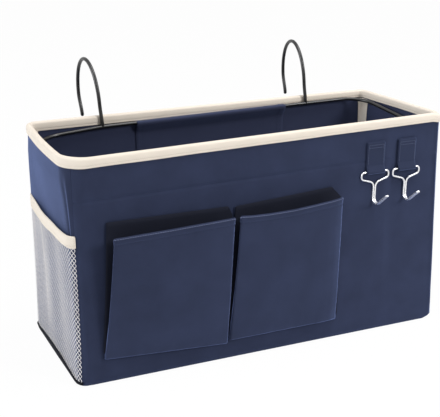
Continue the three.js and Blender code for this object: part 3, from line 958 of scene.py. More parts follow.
@dataclass
class Walls(Part):
    """Canvas, boards and lining of the four sides and the floor.

    Attributes:
        foot: height of the walls' lower edge above the underside.
        rim_round: from their upper edge to the rim.
        board_margin: from a board's edge to the end of its side.
        seam_share: how much of a side's way its seam takes at each end.
        swell, unevenness: long and short ripples of the canvas.
        seam_ease, foot_ease: how far from a seam and from the foot they are whole.
        crease_height, crease_depth, crease_width: of the fold line on the front and back.
        faintness: where that line fades.
        end_folds: upright folds of the right end and of the left end.
        ridge, ridge_foot: how far the left end stands out beside its front seam, and the
            height from which it does.
        tab_centre, tab_reach: where on the front, along x, the tabs press it flat.
        dent, dent_foot: how deep they press it in, and the height from which they do.
        floor_margin: from the lining's face to the edge of the floor's board and lining.
    """

    foot: float = 0.9
    rim_round: float = 2.2
    board_margin: float = 22.0
    seam_share: float = 0.0012
    swell: Ripple = Ripple(11, 0.75, 95.0)
    unevenness: Ripple = Ripple(31, 0.25, 38.0)
    seam_ease: float = 14.0
    foot_ease: float = 18.0
    crease_height: float = 164.0
    crease_depth: float = 0.7
    crease_width: float = 1.5
    faintness: Ripple = Ripple(41, 0.6, 120.0)
    end_folds: tuple[Ripple, Ripple] = (Ripple(22, 0.8, 30.0), Ripple(24, 1.8, 30.0))
    ridge: float = 1.1
    ridge_foot: float = 120.0
    tab_centre: float = 131.0
    tab_reach: float = 24.0
    dent: float = 0.3
    dent_foot: float = 120.0
    floor_margin: float = 0.3

    @property
    def top(self) -> float:
        """Height of the walls' upper edge."""
        return self.form.height - self.rim_round

    def relief(self, side: Side, way: Array, height: Array) -> Array:
        """How far the canvas stands out.

        Ripples fade out towards the seams, the foot and the rim. A fold line runs across the
        front and back, and upright folds run up the ends. The left end has a ridge and a dip
        beside its front seam. The tabs press the front flat.

        Args:
            side: which side of the box.
            way: from 0 to 1 along it.
            height: above the underside.

        Returns:
            The distance off the outer face.
        """
        span = 2.0 * self.form.spans(side)[0]
        along = way * span
        seam = np.minimum(along, span - along)
        out = self.swell.other(side.value).at(along, height)
        out = out + self.unevenness.other(side.value).at(along, height)
        out = out * smooth_step(seam / self.seam_ease) * smooth_step(height / self.foot_ease)
        if side in (Side.FRONT, Side.BACK):
            depth = self.crease_depth * (0.4 + self.faintness.at(along, 0.0 * along))
            out = out - depth * groove(height - self.crease_height, self.crease_width)
        else:
            ripple = self.end_folds[side.value // 2]
            folds = ripple.at(along, 0.16 * height) - 0.4 * ripple.height
            out = out + folds * smooth_step(seam / 10.0) * smooth_step(height / 60.0)
        if side is Side.LEFT_END:
            to_front = span - along
            ridge = groove(to_front - 3.8, 1.7) - 0.6 * groove(to_front - 8.4, 2.4)
            out = out + self.ridge * ridge * smooth_step((height - self.ridge_foot) / 20.0)
        out = out * smooth_step((self.form.height - 10.0 - height) / 16.0)
        if side is Side.FRONT:
            beside = np.abs(along - span / 2.0 - self.tab_centre)
            pressed = smooth_step((self.tab_reach - beside) / 6.0 + 0.6)
            dent = self.dent * smooth_step((height - self.dent_foot) / 20.0)
            out = out * (1.0 - pressed) - pressed * dent
        return out

    def build(self) -> None:
        """Builds every sheet of the walls and the floor."""
        for side in Side:
            self.build_cloth(side)
            self.build_board(side)
        self.build_floor()

    def build_cloth(self, side: Side) -> None:
        """Builds the canvas and the lining of one side, with rows close to the fold line.

        Args:
            side: which side of the box.
        """
        form, name = self.form, side.name.lower()
        steps = 34 if side.value % 2 else 90
        ways = np.clip(form.ways(steps), self.seam_share, 1.0 - self.seam_share)
        near_crease = self.crease_height + np.linspace(-3.0, 3.0, 13)
        heights = np.union1d(np.linspace(self.foot, self.top, 70), near_crease)
        way, height = np.meshgrid(ways, heights)
        out = self.relief(side, way, height)
        inner = -form.wall + 0.0 * out
        for kind, outside, inside, measured, finish in (
            ("canvas", out, out - form.canvas, out, self.finishes.canvas),
            ("lining", inner + form.lining, inner, inner, self.finishes.lining),
        ):
            faces = (form.point(side, way, height, off) for off in (outside, inside))
            made = publish(
                Piece(f"{name}_{kind}_cloth", f"navy_{kind}", (f"{name}_{kind}",)),
                closed_sheet(*faces), finish,
            )
            flat = flat_size(form.point(side, way, height, measured))

    def build_board(self, side: Side) -> None:
        """Builds the board of one side, short of the rounded corners.

        Args:
            side: which side of the box.
        """
        form, name = self.form, side.name.lower()
        half_span, half_through = form.spans(side)
        x, z = np.meshgrid(
            np.linspace(-1.0, 1.0, 9) * (half_span - self.board_margin),
            np.linspace(self.foot, self.top, 7),
        )
        face = form.canvas + form.gap

        def plate(inset: float) -> Array:
            """The board's face at an inset from the outer face of the side."""
            return form.settle(form.turned(side, x, inset - half_through + 0.0 * x, z))

        publish(
            Piece(f"{name}_board_sheet", "stiff_board", (f"{name}_board",)),
            closed_sheet(plate(face), plate(face + form.board), rounding=0.1),
            self.finishes.board,
        )

    def floor_sheet(self, inset: float, bottom: float, thickness: float) -> Skin:
        """A level sheet with rounded corners, inset from the outer foot line.

        Its half depth falls away over the last corner radius of its length as a circle does.

        Args:
            inset: from the foot line.
            bottom: height of its underside.
            thickness: of the sheet.

        Returns:
            The closed skin.
        """
        form = self.form
        radius = min(form.foot_radii) - inset
        half_x, half_y = form.width / 2.0 - inset, form.depth / 2.0 - inset
        turn = np.linspace(0.0, QUARTER, 9)
        ends = half_x - radius + radius * np.sin(turn)
        flat = np.linspace(-1.0, 1.0, 61)[1:-1] * (half_x - radius)
        x = np.concatenate([-ends[::-1], flat, ends])
        over = np.maximum(np.abs(x) - (half_x - radius), 0.0)
        reach = half_y - radius + np.sqrt(np.maximum(radius**2 - over**2, 0.0))
        y = np.linspace(-1.0, 1.0, 25)[:, None] * reach
        plan = np.stack([np.broadcast_to(x, y.shape), y, 0.0 * y], -1)
        upper, lower = (
            form.settle(plan + [0.0, 0.0, height]) for height in (bottom + thickness, bottom)
        )
        return closed_sheet(upper, lower, rounding=0.3)

    def build_floor(self) -> None:
        """Builds the floor's canvas, board and lining, which lie on each other."""
        form = self.form
        inset = form.wall + self.floor_margin
        size = np.array([form.width, form.depth]) * MILLIMETRE
        made = publish(
            Piece("base_canvas_cloth", "navy_canvas", ("base_canvas",)),
            self.floor_sheet(0.0, 0.0, form.canvas), self.finishes.canvas,
        )
        publish(
            Piece("base_board_sheet", "stiff_board", ("base_board",)),
            self.floor_sheet(inset, self.foot, form.board), self.finishes.board,
        )
        made = publish(
            Piece("base_lining_cloth", "navy_lining", ("base_lining",)),
            self.floor_sheet(inset, self.foot + form.board + form.gap, form.lining),
            self.finishes.lining,
        )
        size = size - 2.0 * inset * MILLIMETRE


@dataclass
class RimTape(Part):
    """The cream tape folded over the rim, and the tapes in the inner corners.

    Attributes:
        tape: the tape's thickness.
        drop: from the rim to the tape's edge, in its section.
        corner_drops: the same at each corner.
        rise: height of the tape's arch over the rim.
        clear: from the wall to the tape.
        swell, sink: how far the tape stands out beside its seam, and sinks under it.
        stitch_height: from the tape's edge to the seam.
        pitch, thread: of the stitches.
        wander: how the tape wavers along the rim.
        seam_tape: thickness of a corner tape.
        tape_reach: how far a corner tape reaches past its rounded corner.
        tape_shifts: how far each has slid along the two sides.
    """

    tape: float = 0.8
    drop: float = 10.0
    corner_drops: tuple[float, ...] = (8.6, 7.6, 7.2, 8.6)
    rise: float = 2.2
    clear: float = 0.2
    swell: float = 0.22
    sink: float = 0.3
    stitch_height: float = 2.0
    pitch: float = 3.4
    thread: float = 0.42
    wander: Ripple = Ripple(3, 0.5, 55.0)
    seam_tape: float = 0.7
    tape_reach: float = 1.5
    tape_shifts: tuple[float, ...] = (0.0, 0.0, 3.2, 0.0)

    @property
    def foot(self) -> float:
        """Height of the tape's edge in its section."""
        return self.form.height - self.drop

    @property
    def top(self) -> float:
        """Height at which the tape's arch over the rim begins."""
        return self.form.height - self.rise

    def section(self) -> Array:
        """The tape's closed section: two arches, each with its legs, one inside the other.

        Returns:
            Points with distance off the outer face and height.
        """
        middle, half = -self.form.wall / 2.0, self.form.wall / 2.0 + self.clear
        turn = np.linspace(0.0, math.pi, 15)
        leg = np.array([0.0, 0.6, 1.4, 2.0, 2.6, 3.4, 5.0, 6.6])
        puff = self.swell * np.sin(leg / (self.drop - self.rise) * math.pi)
        puff = puff - self.sink * groove(leg - self.stitch_height, 0.55)
        puff[0] -= 0.15

        def contour(thick: float, puff: Array) -> Array:
            """One face of the section: up a leg, over the rim and down the other."""
            reach = half + thick
            rise = self.rise - self.tape + thick
            up = np.stack([middle + reach + puff, self.foot + leg], -1)
            over = np.stack([middle + reach * np.cos(turn), self.top + rise * np.sin(turn)], -1)
            down = np.stack([middle - reach - puff[::-1], self.foot + leg[::-1]], -1)
            return np.vstack([up, over, down])

        return np.vstack([contour(self.tape, puff), contour(0.0, 0.0 * puff)[::-1]])

    def build(self) -> None:
        """Builds the rim tape with its stitches and the four corner tapes.

        Below its arch, the section is stretched to the drop between two corners, which
        changes in a straight line.
        """
        form, top, foot = self.form, self.top, self.foot
        section_out, section_height = self.section().T
        middle = -form.wall / 2.0
        reach = form.wall / 2.0 + self.clear + self.tape - 0.12
        below = np.maximum(top - section_height, 0.0)
        low = smooth_step((top - section_height) / self.drop)
        rows, seams = [], ([], [])
        walked = 0.0
        for side in Side:
            ways = form.ways(40 if side.value % 2 else 110)[:-1]
            span = 2.0 * form.spans(side)[0]
            along = walked + ways * span
            walked += span
            wave = self.wander.at(along, 0.0 * along) - self.wander.height / 2.0
            first, last = self.corner_drops[side.value], self.corner_drops[(side.value + 1) % 4]
            scale = (first + (last - first) * ways - self.rise) / (self.drop - self.rise)
            height = section_height + below * (1.0 - scale[:, None])
            height = height + wave[:, None] * (0.5 + low)
            out = section_out + 0.35 * wave[:, None]
            rows.append(form.point(side, ways[:, None], height, out))
            seam = top - (top - foot - self.stitch_height) * scale + wave * 1.4
            for line, sign in zip(seams, (1.0, -1.0)):
                line.append(form.point(side, ways, seam, middle + sign * reach + 0.35 * wave))
        ring = closed_ring(np.vstack(rows))
        ring = Skin(ring.points, ring.faces[:, ::-1], ring.cloth[:, ::-1])
        publish(Piece("rim_tape", "cream_tape", ("rim_binding",)), ring, self.finishes.tape)
        outer, inner = (np.vstack(line) for line in seams)
        outward = unit((outer - inner) * [1.0, 1.0, 0.0])
        threads = joined([
            stitches(line, away, self.pitch, self.thread)
            for line, away in ((outer, outward), (inner, -outward))
        ])
        publish(Piece("rim_stitches", "cream_tape"), threads, self.finishes.cream_thread)
        for corner, name in enumerate(("front_left", "front_right", "back_right", "back_left")):
            self.build_corner_tape(corner, name)

    def corner_face(self, corner: int, out: float) -> Array:
        """One face of a corner tape.

        Args:
            corner: its number.
            out: off the outer face.

        Returns:
            A grid of points, from the side that arrives at the corner to the one that leaves.
        """
        form, shift = self.form, self.tape_shifts[corner]
        heights = np.linspace(3.9, self.foot + 1.5, 60)
        strips = []
        for order, side in enumerate((Side((corner + 3) % 4), Side(corner))):
            over = self.tape_reach + shift * (1.6 - 2.6 * order)
            reach = form.corner_share + over / (2.0 * form.spans(side)[0])
            share = np.linspace(0.0, reach, 11)
            share = share[1:] if order else 1.0 - share[::-1]
            way, height = np.meshgrid(share, heights)
            strips.append(form.point(side, way, height, out))
        return np.concatenate(strips, 1)

    def build_corner_tape(self, corner: int, name: str) -> None:
        """Builds the tape over one inner corner seam.

        Args:
            corner: its number.
            name: what its piece is named after.
        """
        face = -self.form.wall - self.clear
        skin = closed_sheet(
            self.corner_face(corner, face), self.corner_face(corner, face - self.seam_tape)
        )
        publish(
            Piece(f"{name}_corner_tape", "cream_tape", (f"{name}_tape",)), skin,
            self.finishes.tape,
        )


@dataclass
class WireWork(Part):
    """The ring in the rim, its two hanging hooks and the flap that holds its back run.

    Attributes:
        wire: the wire's thickness.
        bend: the ring's corner radius.
        half_x, half_y: half the size of the ring's middle line.
        back_places, back_heights: how high the ring lies at places along x, at the back.
        front_heights: the same at its front corners.
        opening: inside a hanging hook.
        lean, rise: how far the hook's leg goes out behind, and how high.
        arch: height of the half ellipse over it.
        tip_drop, tip_inset: how far the returning leg comes down, and inwards.
        tilt: how far the hook goes along x for its height.
        hooks: name, place along x and turn in degrees of each.
        flap_ends: the flap's ends, along x.
        flap_seam: from a seam to the flap's end.
        pitch, thread: of its stitches.
        slack: the flap's unevenness.
    """

    wire: float = 3.5
    bend: float = 24.0
    half_x: float = 176.25
    half_y: float = 55.75
    back_places: tuple[float, ...] = (-176.0, -111.0, 110.0, 176.0)
    back_heights: tuple[float, ...] = (190.9, 196.2, 200.3, 201.4)
    front_heights: tuple[float, ...] = (192.4, 190.5)
    opening: float = 51.0
    lean: float = 2.3
    rise: float = 22.0
    arch: float = 38.3
    tip_drop: float = 20.2
    tip_inset: float = 4.2
    tilt: float = -0.075
    hooks: tuple[tuple[str, float, float], ...] = (
        ("left", -111.4, 3.3), ("right", 109.9, -6.7),
    )
    flap_ends: Pair = (-78.0, 84.0)
    flap_seam: float = 6.4
    pitch: float = 3.2
    thread: float = 0.4
    slack: Ripple = Ripple(71, 0.6, 60.0)

    def ring_height(self, x: Array, y: Array) -> Array:
        """The ring's height at places along x and y.

        At the back it is read from the measured places, and along the front it runs in a
        straight line. Between them it changes evenly.
        """
        back = np.interp(x, self.back_places, self.back_heights)
        front = np.interp(x, [-self.half_x, self.half_x], self.front_heights)
        share = np.clip(y / (2.0 * self.half_y) + 0.5, 0.0, 1.0)
        return front + (back - front) * share

    def hook_line(self) -> Array:
        """A hanging hook from its weld: a leaning leg, half an ellipse and a returning leg.

        Returns:
            Points with how far they are out behind the weld and above it.
        """
        span = self.opening + self.wire
        share = np.linspace(0.0, 1.0, 17)
        ease = smooth_step(share)
        turn = np.linspace(0.0, math.pi, 49)
        leg = (self.lean * ease, self.rise * share)
        over = (
            self.lean + span * (1.0 - np.cos(turn)) / 2.0, self.rise + self.arch * np.sin(turn),
        )
        tip = (self.lean + span - self.tip_inset * ease, self.rise - self.tip_drop * share)
        leg, over, tip = (np.stack(run, -1) for run in (leg, over, tip))
        return np.vstack([leg[:-1], over, tip[1:]])

    def build(self) -> None:
        """Builds the ring, both hooks and the flap."""
        signs = np.array([[-1.0, -1.0], [1.0, -1.0], [1.0, 1.0], [-1.0, 1.0]])
        corners = np.column_stack([signs * [self.half_x, self.half_y], np.zeros(4)])
        ring = evenly(bent_wire(corners, [self.bend] * 4, closed=True), 4.0, closed=True)
        ring[:, 2] = self.ring_height(ring[:, 0], ring[:, 1])
        publish(
            Piece("frame_ring", "black_wire", ("wire_frame",)),
            round_wire(ring, self.wire / 2.0, closed=True), self.finishes.black_wire,
        )
        out, up = self.hook_line().T
        for name, place, splay in self.hooks:
            turn = math.radians(splay)
            weld = float(self.ring_height(np.array(place), np.array(self.half_y)))
            x = place - out * math.sin(turn) + up * self.tilt
            hook = np.stack([x, self.half_y + out * math.cos(turn), weld + up], -1)
            publish(
                Piece(f"rail_hook_{name}", "black_wire", (f"hanging_hook_{name}",)),
                round_wire(evenly(hook, 1.6), self.wire / 2.0), self.finishes.black_wire,
            )
        self.build_flap()

    def build_flap(self) -> None:
        """Builds the flap over the ring's back run, sewn flat to the lining below it.

        Its section runs under the rim, over the wire and down the wall. It stands off the
        wall by its slack, which fades towards its ends, and is thicker in its side hems.
        """
        wall_y = self.form.depth / 2.0 - self.form.wall
        over_wire = wall_y - self.half_y + self.wire / 2.0 + 0.7
        line = np.array([
            [0.6, -60.0], [0.6, -9.8], [over_wire, -1.9], [over_wire, 1.5], [1.6, 1.6],
        ])
        side = rounded_line(line, 3.0, 48)
        across, out = np.meshgrid(np.linspace(*self.flap_ends, 66), side[:, 0])
        height = self.ring_height(across, self.half_y + 0.0 * across) + side[:, 1][:, None]
        edge = np.minimum(across - self.flap_ends[0], self.flap_ends[1] - across)
        lift = 0.8 * self.slack.at(across, height) * smooth_step(edge / 12.0)
        hem = 0.6 * (0.35 * smooth_step((9.0 - edge) / 1.0) - 0.3 * groove(edge - 7.6, 0.5))

        def face(thick: float, more: Array | float = 0.0) -> Array:
            """One face of the flap at a distance off the lining."""
            return self.on_wall(across, wall_y - out - lift - thick, height, more)

        flap = publish(
            Piece("frame_flap", "navy_lining", ("frame_sleeve",)),
            closed_sheet(face(0.4, hem), face(-0.4)), self.finishes.lining,
        )
        rows = []
        for place in (self.flap_ends[0] + self.flap_seam, self.flap_ends[1] - self.flap_seam):
            y = wall_y - side[:, 0] - 0.75
            beside = place + 0.0 * y
            level = self.ring_height(beside, self.half_y + 0.0 * y) + side[:, 1]
            rows.append(
                stitches(self.on_wall(beside, y, level), FORWARD, self.pitch, self.thread)
            )
        sewn = publish(
            Piece("flap_stitches", "navy_lining"), joined(rows), self.finishes.navy_thread
        )
        flat_size(face(0.0))

    def on_wall(self, x: Array, y: Array, z: Array, forward: Array | float = 0.0) -> Array:
        """Points moved along x and y as the back wall has settled, at the heights given.

        Args:
            x, y, z: the points.
            forward: how much further forward they go after that.

        Returns:
            The moved points.
        """
        moved = self.form.settle(np.stack([x, y, z], -1))
        return np.stack([moved[..., 0], moved[..., 1] - forward, z], -1)


@dataclass(frozen=True)
class PocketCut:
    """Where one front pocket has its corners, each as x and height on the unsettled wall.

    Attributes:
        name: left or right.
        mouth: the face's upper corners, left and right.
        foot: its lower corners.
        wall: where the gussets end on the wall, at the mouth.
        back: the two upper corners of the dark sheet behind the pocket, whose colour paints the
            shade inside it, and the gusset's at the face.
        sag: how far the mouth hangs under a straight line.
        bevel: how far the face falls back at its right margin.
    """

    name: str
    mouth: tuple[Pair, Pair]
    foot: tuple[Pair, Pair]
    wall: tuple[Pair, Pair]
    back: tuple[Pair, Pair, Pair]
    sag: float
    bevel: float


@dataclass
class FrontPockets(Part):
    """The pair of wedge pockets on the front wall.

    Attributes:
        cuts: where each pocket has its corners.
        foot, mouth: how far the face stands off the wall at its foot and at its mouth.
        turn_in: how much of the height the face takes to turn in at the foot.
        fold_in: how far the gussets' folds go in at the mouth.
        fold_depth: how far the folds stand off the wall, as a share of the face's distance.
        tuck: how far the folds drop at the mouth.
        crown: how far the face bulges.
        corner: width over which its corners are rounded.
        cloth: its thickness.
        hem: height of the mouth's hem.
        height: of a pocket, on which shares of it are measured.
        shade_sheet_grow: how far the left side of that dark sheet goes past the pocket's foot.
    """

    cuts: tuple[PocketCut, ...] = (
        PocketCut(
            name="left",
            mouth=((-156.1, 135.2), (-43.9, 137.0)),
            foot=((-163.6, 22.4), (-45.8, 14.8)),
            wall=((-156.4, 137.0), (-42.0, 137.2)),
            back=((-155.7, 144.6), (-43.3, 142.6), (-39.9, 135.0)),
            sag=0.4,
            bevel=0.4,
        ),
        PocketCut(
            name="right",
            mouth=((-40.2, 137.6), (66.5, 139.6)),
            foot=((-44.8, 17.4), (70.0, 17.5)),
            wall=((-36.7, 136.6), (61.0, 138.6)),
            back=((-36.3, 141.5), (62.5, 146.0), (73.2, 134.5)),
            sag=2.7,
            bevel=2.2,
        ),
    )
    foot: float = 4.0
    mouth: float = 18.0
    turn_in: float = 0.018
    fold_in: float = 12.0
    crown: float = 1.5
    cloth: float = 1.0
    hem: float = 6.0
    height: float = 126.0
    corner: float = 4.5
    tuck: float = 9.0
    fold_depth: float = 0.07
    shade_sheet_grow: float = 0.6

    def row_line(self, cut: PocketCut, share: float) -> Array:
        """One level of a pocket: hidden edge, folded gusset, face, and the same back again.

        Every corner moves in a straight line from the foot to the mouth, and the face stands
        out by a straight line too, but for a quarter circle where it turns in at the foot.

        Args:
            cut: the pocket.
            share: 0 at the foot and 1 at the mouth.

        Returns:
            Points with x, distance off the wall and height.
        """
        foot, mouth, wall = (np.array(ends) for ends in (cut.foot, cut.mouth, cut.wall))
        edge = foot + (mouth - foot) * share
        end = foot + (wall - foot) * share
        near = 1.0 - min(share / self.turn_in, 1.0)
        round_in = math.sqrt(1.0 - near * near)
        depth = 0.9 + (self.foot + (self.mouth - self.foot) * share - 0.9) * round_in
        fold = (edge + end) / 2.0 + np.array([[1.0, 0.0], [-1.0, 0.0]]) * self.fold_in * share
        fold[:, 1] -= self.tuck * share**8
        at = np.array([0.0, 0.12, 0.3, 0.5, 0.7, 0.86, 0.93, 1.0])
        face = edge[0] + (edge[1] - edge[0]) * at[:, None]
        out = depth + self.crown * math.sin(math.pi * share) * np.sin(math.pi * at)
        out = out - cut.bevel * smooth_step((at - 0.9) / 0.1) * round_in
        drop = cut.sag * share**3 * np.sin(math.pi * at**0.8)
        middle = np.column_stack([face[:, 0], out, face[:, 1] - drop])
        left = [
            [end[0, 0] + 3.0, 0.4, end[0, 1]], [end[0, 0], 0.6, end[0, 1]],
            [fold[0, 0], depth * self.fold_depth, fold[0, 1]],
        ]
        right = [
            [fold[1, 0], depth * self.fold_depth, fold[1, 1]], [end[1, 0], 0.6, end[1, 1]],
            [end[1, 0] - 3.0, 0.4, end[1, 1]],
        ]
        return rounded_line(np.vstack([left, middle, right]), self.corner, 133)

    def build(self) -> None:
        """Builds both pockets and the dark sheet behind each, which paints the shade inside it."""
        for seed, cut in enumerate(self.cuts):
            self.build_pocket(cut, seed)
            self.build_shade_sheet(cut)

    def build_shade_sheet(self, cut: PocketCut) -> None:
        """Builds the dark sheet at the back of a pocket, flat on the wall, whose colour paints the
        shade inside the pocket.

        Its sides run in straight lines from the pocket's foot to the back's upper corners.

        Args:
            cut: the pocket's corners.
        """
        foot, top = np.array(cut.foot), np.array(cut.back)
        foot = foot + np.array([[-self.shade_sheet_grow, 6.0], [0.0, 6.0]])
        along, share = np.meshgrid(np.linspace(0.0, 1.0, 81), np.linspace(0.0, 1.0, 30))
        low = foot[0] + (foot[1] - foot[0]) * along[..., None]
        high_x = top[0, 0] + (top[2, 0] - top[0, 0]) * along
        high = np.stack([high_x, np.interp(high_x, top[:, 0], top[:, 1])], -1)
        place = low + (high - low) * share[..., None]

        def face(out: float) -> Array:
            """One face of the lining at a distance off the wall."""
            return self.on_wall(np.stack([place[..., 0], out + 0.0 * along, place[..., 1]], -1))

        # The sheet's near-black finish paints the shade inside the pocket.
        made = publish(
            Piece(f"front_pocket_{cut.name}_back", "navy_lining"),
            closed_sheet(face(2.5), face(1.9)), self.finishes.shade,
        )
        flat_size(face(2.2))

    def build_pocket(self, cut: PocketCut, seed: int) -> None:
        """Builds one pocket with its hem stitches, and a pale thread along its mouth that paints
        the highlight on its folded edge.

        The face has soft ripples and puckers at its foot, which fade where it nears the wall.
        The hem is thicker, with a groove along its seam.

        Args:
            cut: its corners.
            seed: picks its unevenness.
        """
        hem_share = 1.0 - self.hem / self.height
        shares = np.concatenate([
            np.linspace(0.0, self.turn_in, 8)[:-1],
            np.linspace(self.turn_in, hem_share - 0.012, 42),
            [hem_share - 0.006, hem_share, hem_share + 0.006],
            np.linspace(hem_share + 0.015, 1.0, 10),
        ])
        surface = np.stack([self.row_line(cut, share) for share in shares])
        share = shares[:, None]
        x, out, z = surface[..., 0], surface[..., 1], surface[..., 2]
        soft = Ripple(50 + seed, 1.0, 60.0).at(x, z) + Ripple(60 + seed, 0.5, 24.0).at(x, 0.4 * z)
        pucker = Ripple(65 + seed, 1.2, 15.0).at(x, z) * np.exp(-share * self.height / 9.0)
        soft = (soft + pucker) * smooth_step((out - 2.0) / 3.0)
        hem_seam = groove((share - hem_share) * self.height, 0.9)
        tangent = unit(np.gradient(surface[..., :2], axis=1))
        normal = np.stack([-tangent[..., 1], tangent[..., 0]], -1)
        thick = self.cloth + 0.7 * smooth_step((share - hem_share) * self.height / 0.5)
        thick = thick - 0.3 * hem_seam
        outer, inner = surface.copy(), surface.copy()
        outer[..., :2] += normal * (thick - self.cloth)[..., None] * 0.5
        inner[..., :2] -= normal * ((thick + self.cloth) * 0.5)[..., None]
        outer[..., 1] += soft * 0.7
        inner[..., 1] = np.maximum(inner[..., 1] + soft * 0.7, 0.3)
        skin = closed_sheet(self.on_wall(outer), self.on_wall(inner))
        made = publish(
            Piece(f"front_pocket_{cut.name}_cloth", "navy_canvas", (f"front_pocket_{cut.name}",)),
            skin, self.finishes.canvas,
        )
        row = int(np.argmin(np.abs(shares - hem_share)))
        seam = self.on_wall(outer[row, 24:-24] + [0.0, 0.05, 0.0])
        thread = publish(
            Piece(f"front_pocket_{cut.name}_stitches", "navy_canvas"),
            stitches(seam, FORWARD, 3.2, 0.36), self.finishes.navy_thread,
        )
        # A nearly unbroken pale thread along the mouth: painted highlight of the folded edge.
        edge = self.on_wall(outer[-1, 26:-26] + [0.0, -0.1, -0.5])
        mouth_highlight = publish(
            Piece(f"front_pocket_{cut.name}_edge", "navy_canvas"),
            stitches(edge, FORWARD, 2.2, 0.8, 0.92), self.finishes.pale_thread_and_highlight,
        )
        flat_size(surface)

    def on_wall(self, local: Array) -> Array:
        """Moves x, distance off the wall and height to where the front wall has settled."""
        x, out, z = local[..., 0], local[..., 1], local[..., 2]
        wall = self.form.settle(np.stack([x, 0.0 * x - self.form.depth / 2.0, z], -1))
        return np.stack([wall[..., 0], wall[..., 1] - out, wall[..., 2]], -1)


@dataclass
class MeshPockets(Part):
    """The net pocket on each end: knitted mesh, the hem at its foot and its cream mouth.

    Attributes:
        top: height of the mouth.
        band, band_growth: height of its tape at the front, and its growth towards the back.
        hem, hem_rise: height of the foot's hem, and how far the net pulls it up.
        bulge_places, bulges: how far the net stands off the end at places along the depth.
        right_share: how much of that the right end has.
        right_start: how much of the right end's way is free before its pocket begins.
        stand: from the end to the back of the pocket.
        folds: upright folds of the net, seeded for each end.
        cell_width, cell_height: of a mesh.
        strand: thickness of its strands.
    """

    top: float = 134.9
    band: float = 9.8
    band_growth: float = 0.25
    hem: float = 2.6
    hem_rise: float = 4.2
    bulge_places: tuple[float, ...] = (-63.0, -62.0, -55.0, -45.0, -28.0, -5.0, 12.0, 33.0, 60.0)
    bulges: tuple[float, ...] = (0.0, 0.4, 1.6, 2.6, 3.0, 3.2, 2.8, 1.0, 0.0)
    right_share: float = 0.6
    right_start: float = 0.14
    stand: float = 0.2
    folds: Ripple = Ripple(90, 3.0, 24.0)
    cell_width: float = 3.3
    cell_height: float = 4.4
    strand: float = 0.54

    def point(self, side: Side, way: Array, height: Array, out: Array) -> Array:
        """A point off an end.

        The slack is read from the measured bulges along the depth and grows as the square
        root of the height. Upright soft folds lie on it, away from the edges.

        Args:
            side: which end.
            way: from 0 to 1 along it.
            height: above the underside.
            out: off the pocket's back.

        Returns:
            The settled points.
        """
        way, height, out = np.broadcast_arrays(way, height, out)
        depth = (0.5 - way if side is Side.LEFT_END else way - 0.5) * self.form.depth
        bulge = np.interp(depth, self.bulge_places, self.bulges)
        share = np.sqrt(np.clip(height / self.top, 0.0, 1.0))
        folds = self.folds.other(side.value).at(depth, 0.12 * height) - self.folds.height / 2.0
        folds = folds * np.sin(math.pi * np.clip(way, 0.0, 1.0)) * np.sin(math.pi * share**2 * 0.9)
        if side is Side.RIGHT_END:
            bulge = bulge * self.right_share
        slack = np.maximum(bulge * share + folds, 0.0)
        return self.form.point(side, way, height, self.stand + slack + out)

    def ways(self, side: Side, steps: int) -> Array:
        """Ways along an end, from which the right end's pocket keeps behind the front corner."""
        ways = self.form.ways(steps)
        return ways[ways > self.right_start] if side is Side.RIGHT_END else ways

    def foot(self, way: Array) -> Array:
        """Height of the hem's upper edge, which the net pulls up in the middle."""
        return self.hem + self.hem_rise * np.sin(math.pi * way) ** 2

    def measured(self, side: Side, share: Array, height: Array) -> Array:
        """Ways at shares of the net's true length along the end.

        Args:
            side: which end.
            share: from 0 to 1 of the length, one column for each height.
            height: the heights.

        Returns:
            One way for each share.
        """
        ways = self.ways(side, 60)
        way, level = np.meshgrid(ways, height)
        steps = np.linalg.norm(np.diff(self.point(side, way, level, 0.7), axis=1), axis=2)
        reach = np.hstack([np.zeros((len(height), 1)), np.cumsum(steps, axis=1)])
        columns = (np.interp(part * line[-1], line, ways) for part, line in zip(share.T, reach))
        return np.stack(list(columns), 1)

    def build(self) -> None:
        """Builds the net, hem and binding of both ends."""
        for name, side in (("left", Side.LEFT_END), ("right", Side.RIGHT_END)):
            self.build_band(name, side)
            self.build_hem(name, side)
            self.build_net(name, side)

    def build_band(self, name: str, side: Side) -> None:
        """Builds the cream tape folded over the net's mouth.

        Args:
            name: left or right.
            side: the end that it is on.
        """
        ways = self.ways(side, 44)
        leg = np.concatenate([np.linspace(0.0, 2.6, 8), np.linspace(3.4, self.band, 8)])
        way, up = np.meshgrid(ways, leg)
        wave = Ripple(81, 0.5, 40.0).at(way * self.form.depth, 0.0 * up) - 0.25
        behind = 1.0 - way if side is Side.LEFT_END else way
        height = self.top - (self.band - up) * (1.0 + self.band_growth * behind) + wave
        puff = 0.25 * np.sin(math.pi * up / self.band) - 0.3 * groove(up - 1.6, 0.5)
        skin = closed_sheet(
            self.point(side, way, height, 1.35 + puff), self.point(side, way, height, 0.0)
        )
        publish(
            Piece(f"mesh_mouth_{name}", "cream_tape", (f"mesh_binding_{name}",)),
            skin, self.finishes.tape,
        )
        row = int(np.argmin(np.abs(leg - 1.6)))
        seam_height = height[row]
        seam = self.point(side, ways, seam_height, 1.3 + 0.0 * ways)
        outward = unit(self.point(side, ways, seam_height, 3.0 + 0.0 * ways) - seam)
        publish(
            Piece(f"mesh_mouth_{name}_stitches", "cream_tape"),
            stitches(seam, outward, 3.2, 0.42), self.finishes.cream_thread,
        )

    def build_hem(self, name: str, side: Side) -> None:
        """Builds the hem that the net's foot is sewn into, near black so that it paints the shade
        along the foot.

        Args:
            name: left or right.
            side: the end that it is on.
        """
        way, up = np.meshgrid(self.ways(side, 40), np.linspace(0.0, 1.0, 9))
        height = 0.4 + self.foot(way) * up
        puff = 0.6 * np.sin(math.pi * up)
        skin = closed_sheet(
            self.point(side, way, height, 1.3 + puff), self.point(side, way, height, 0.0 * up)
        )
        # The near-black hem finish paints the shade along the foot.
        publish(
            Piece(f"mesh_foot_{name}", "navy_canvas", (f"mesh_hem_{name}",)),
            skin, self.finishes.hem,
        )

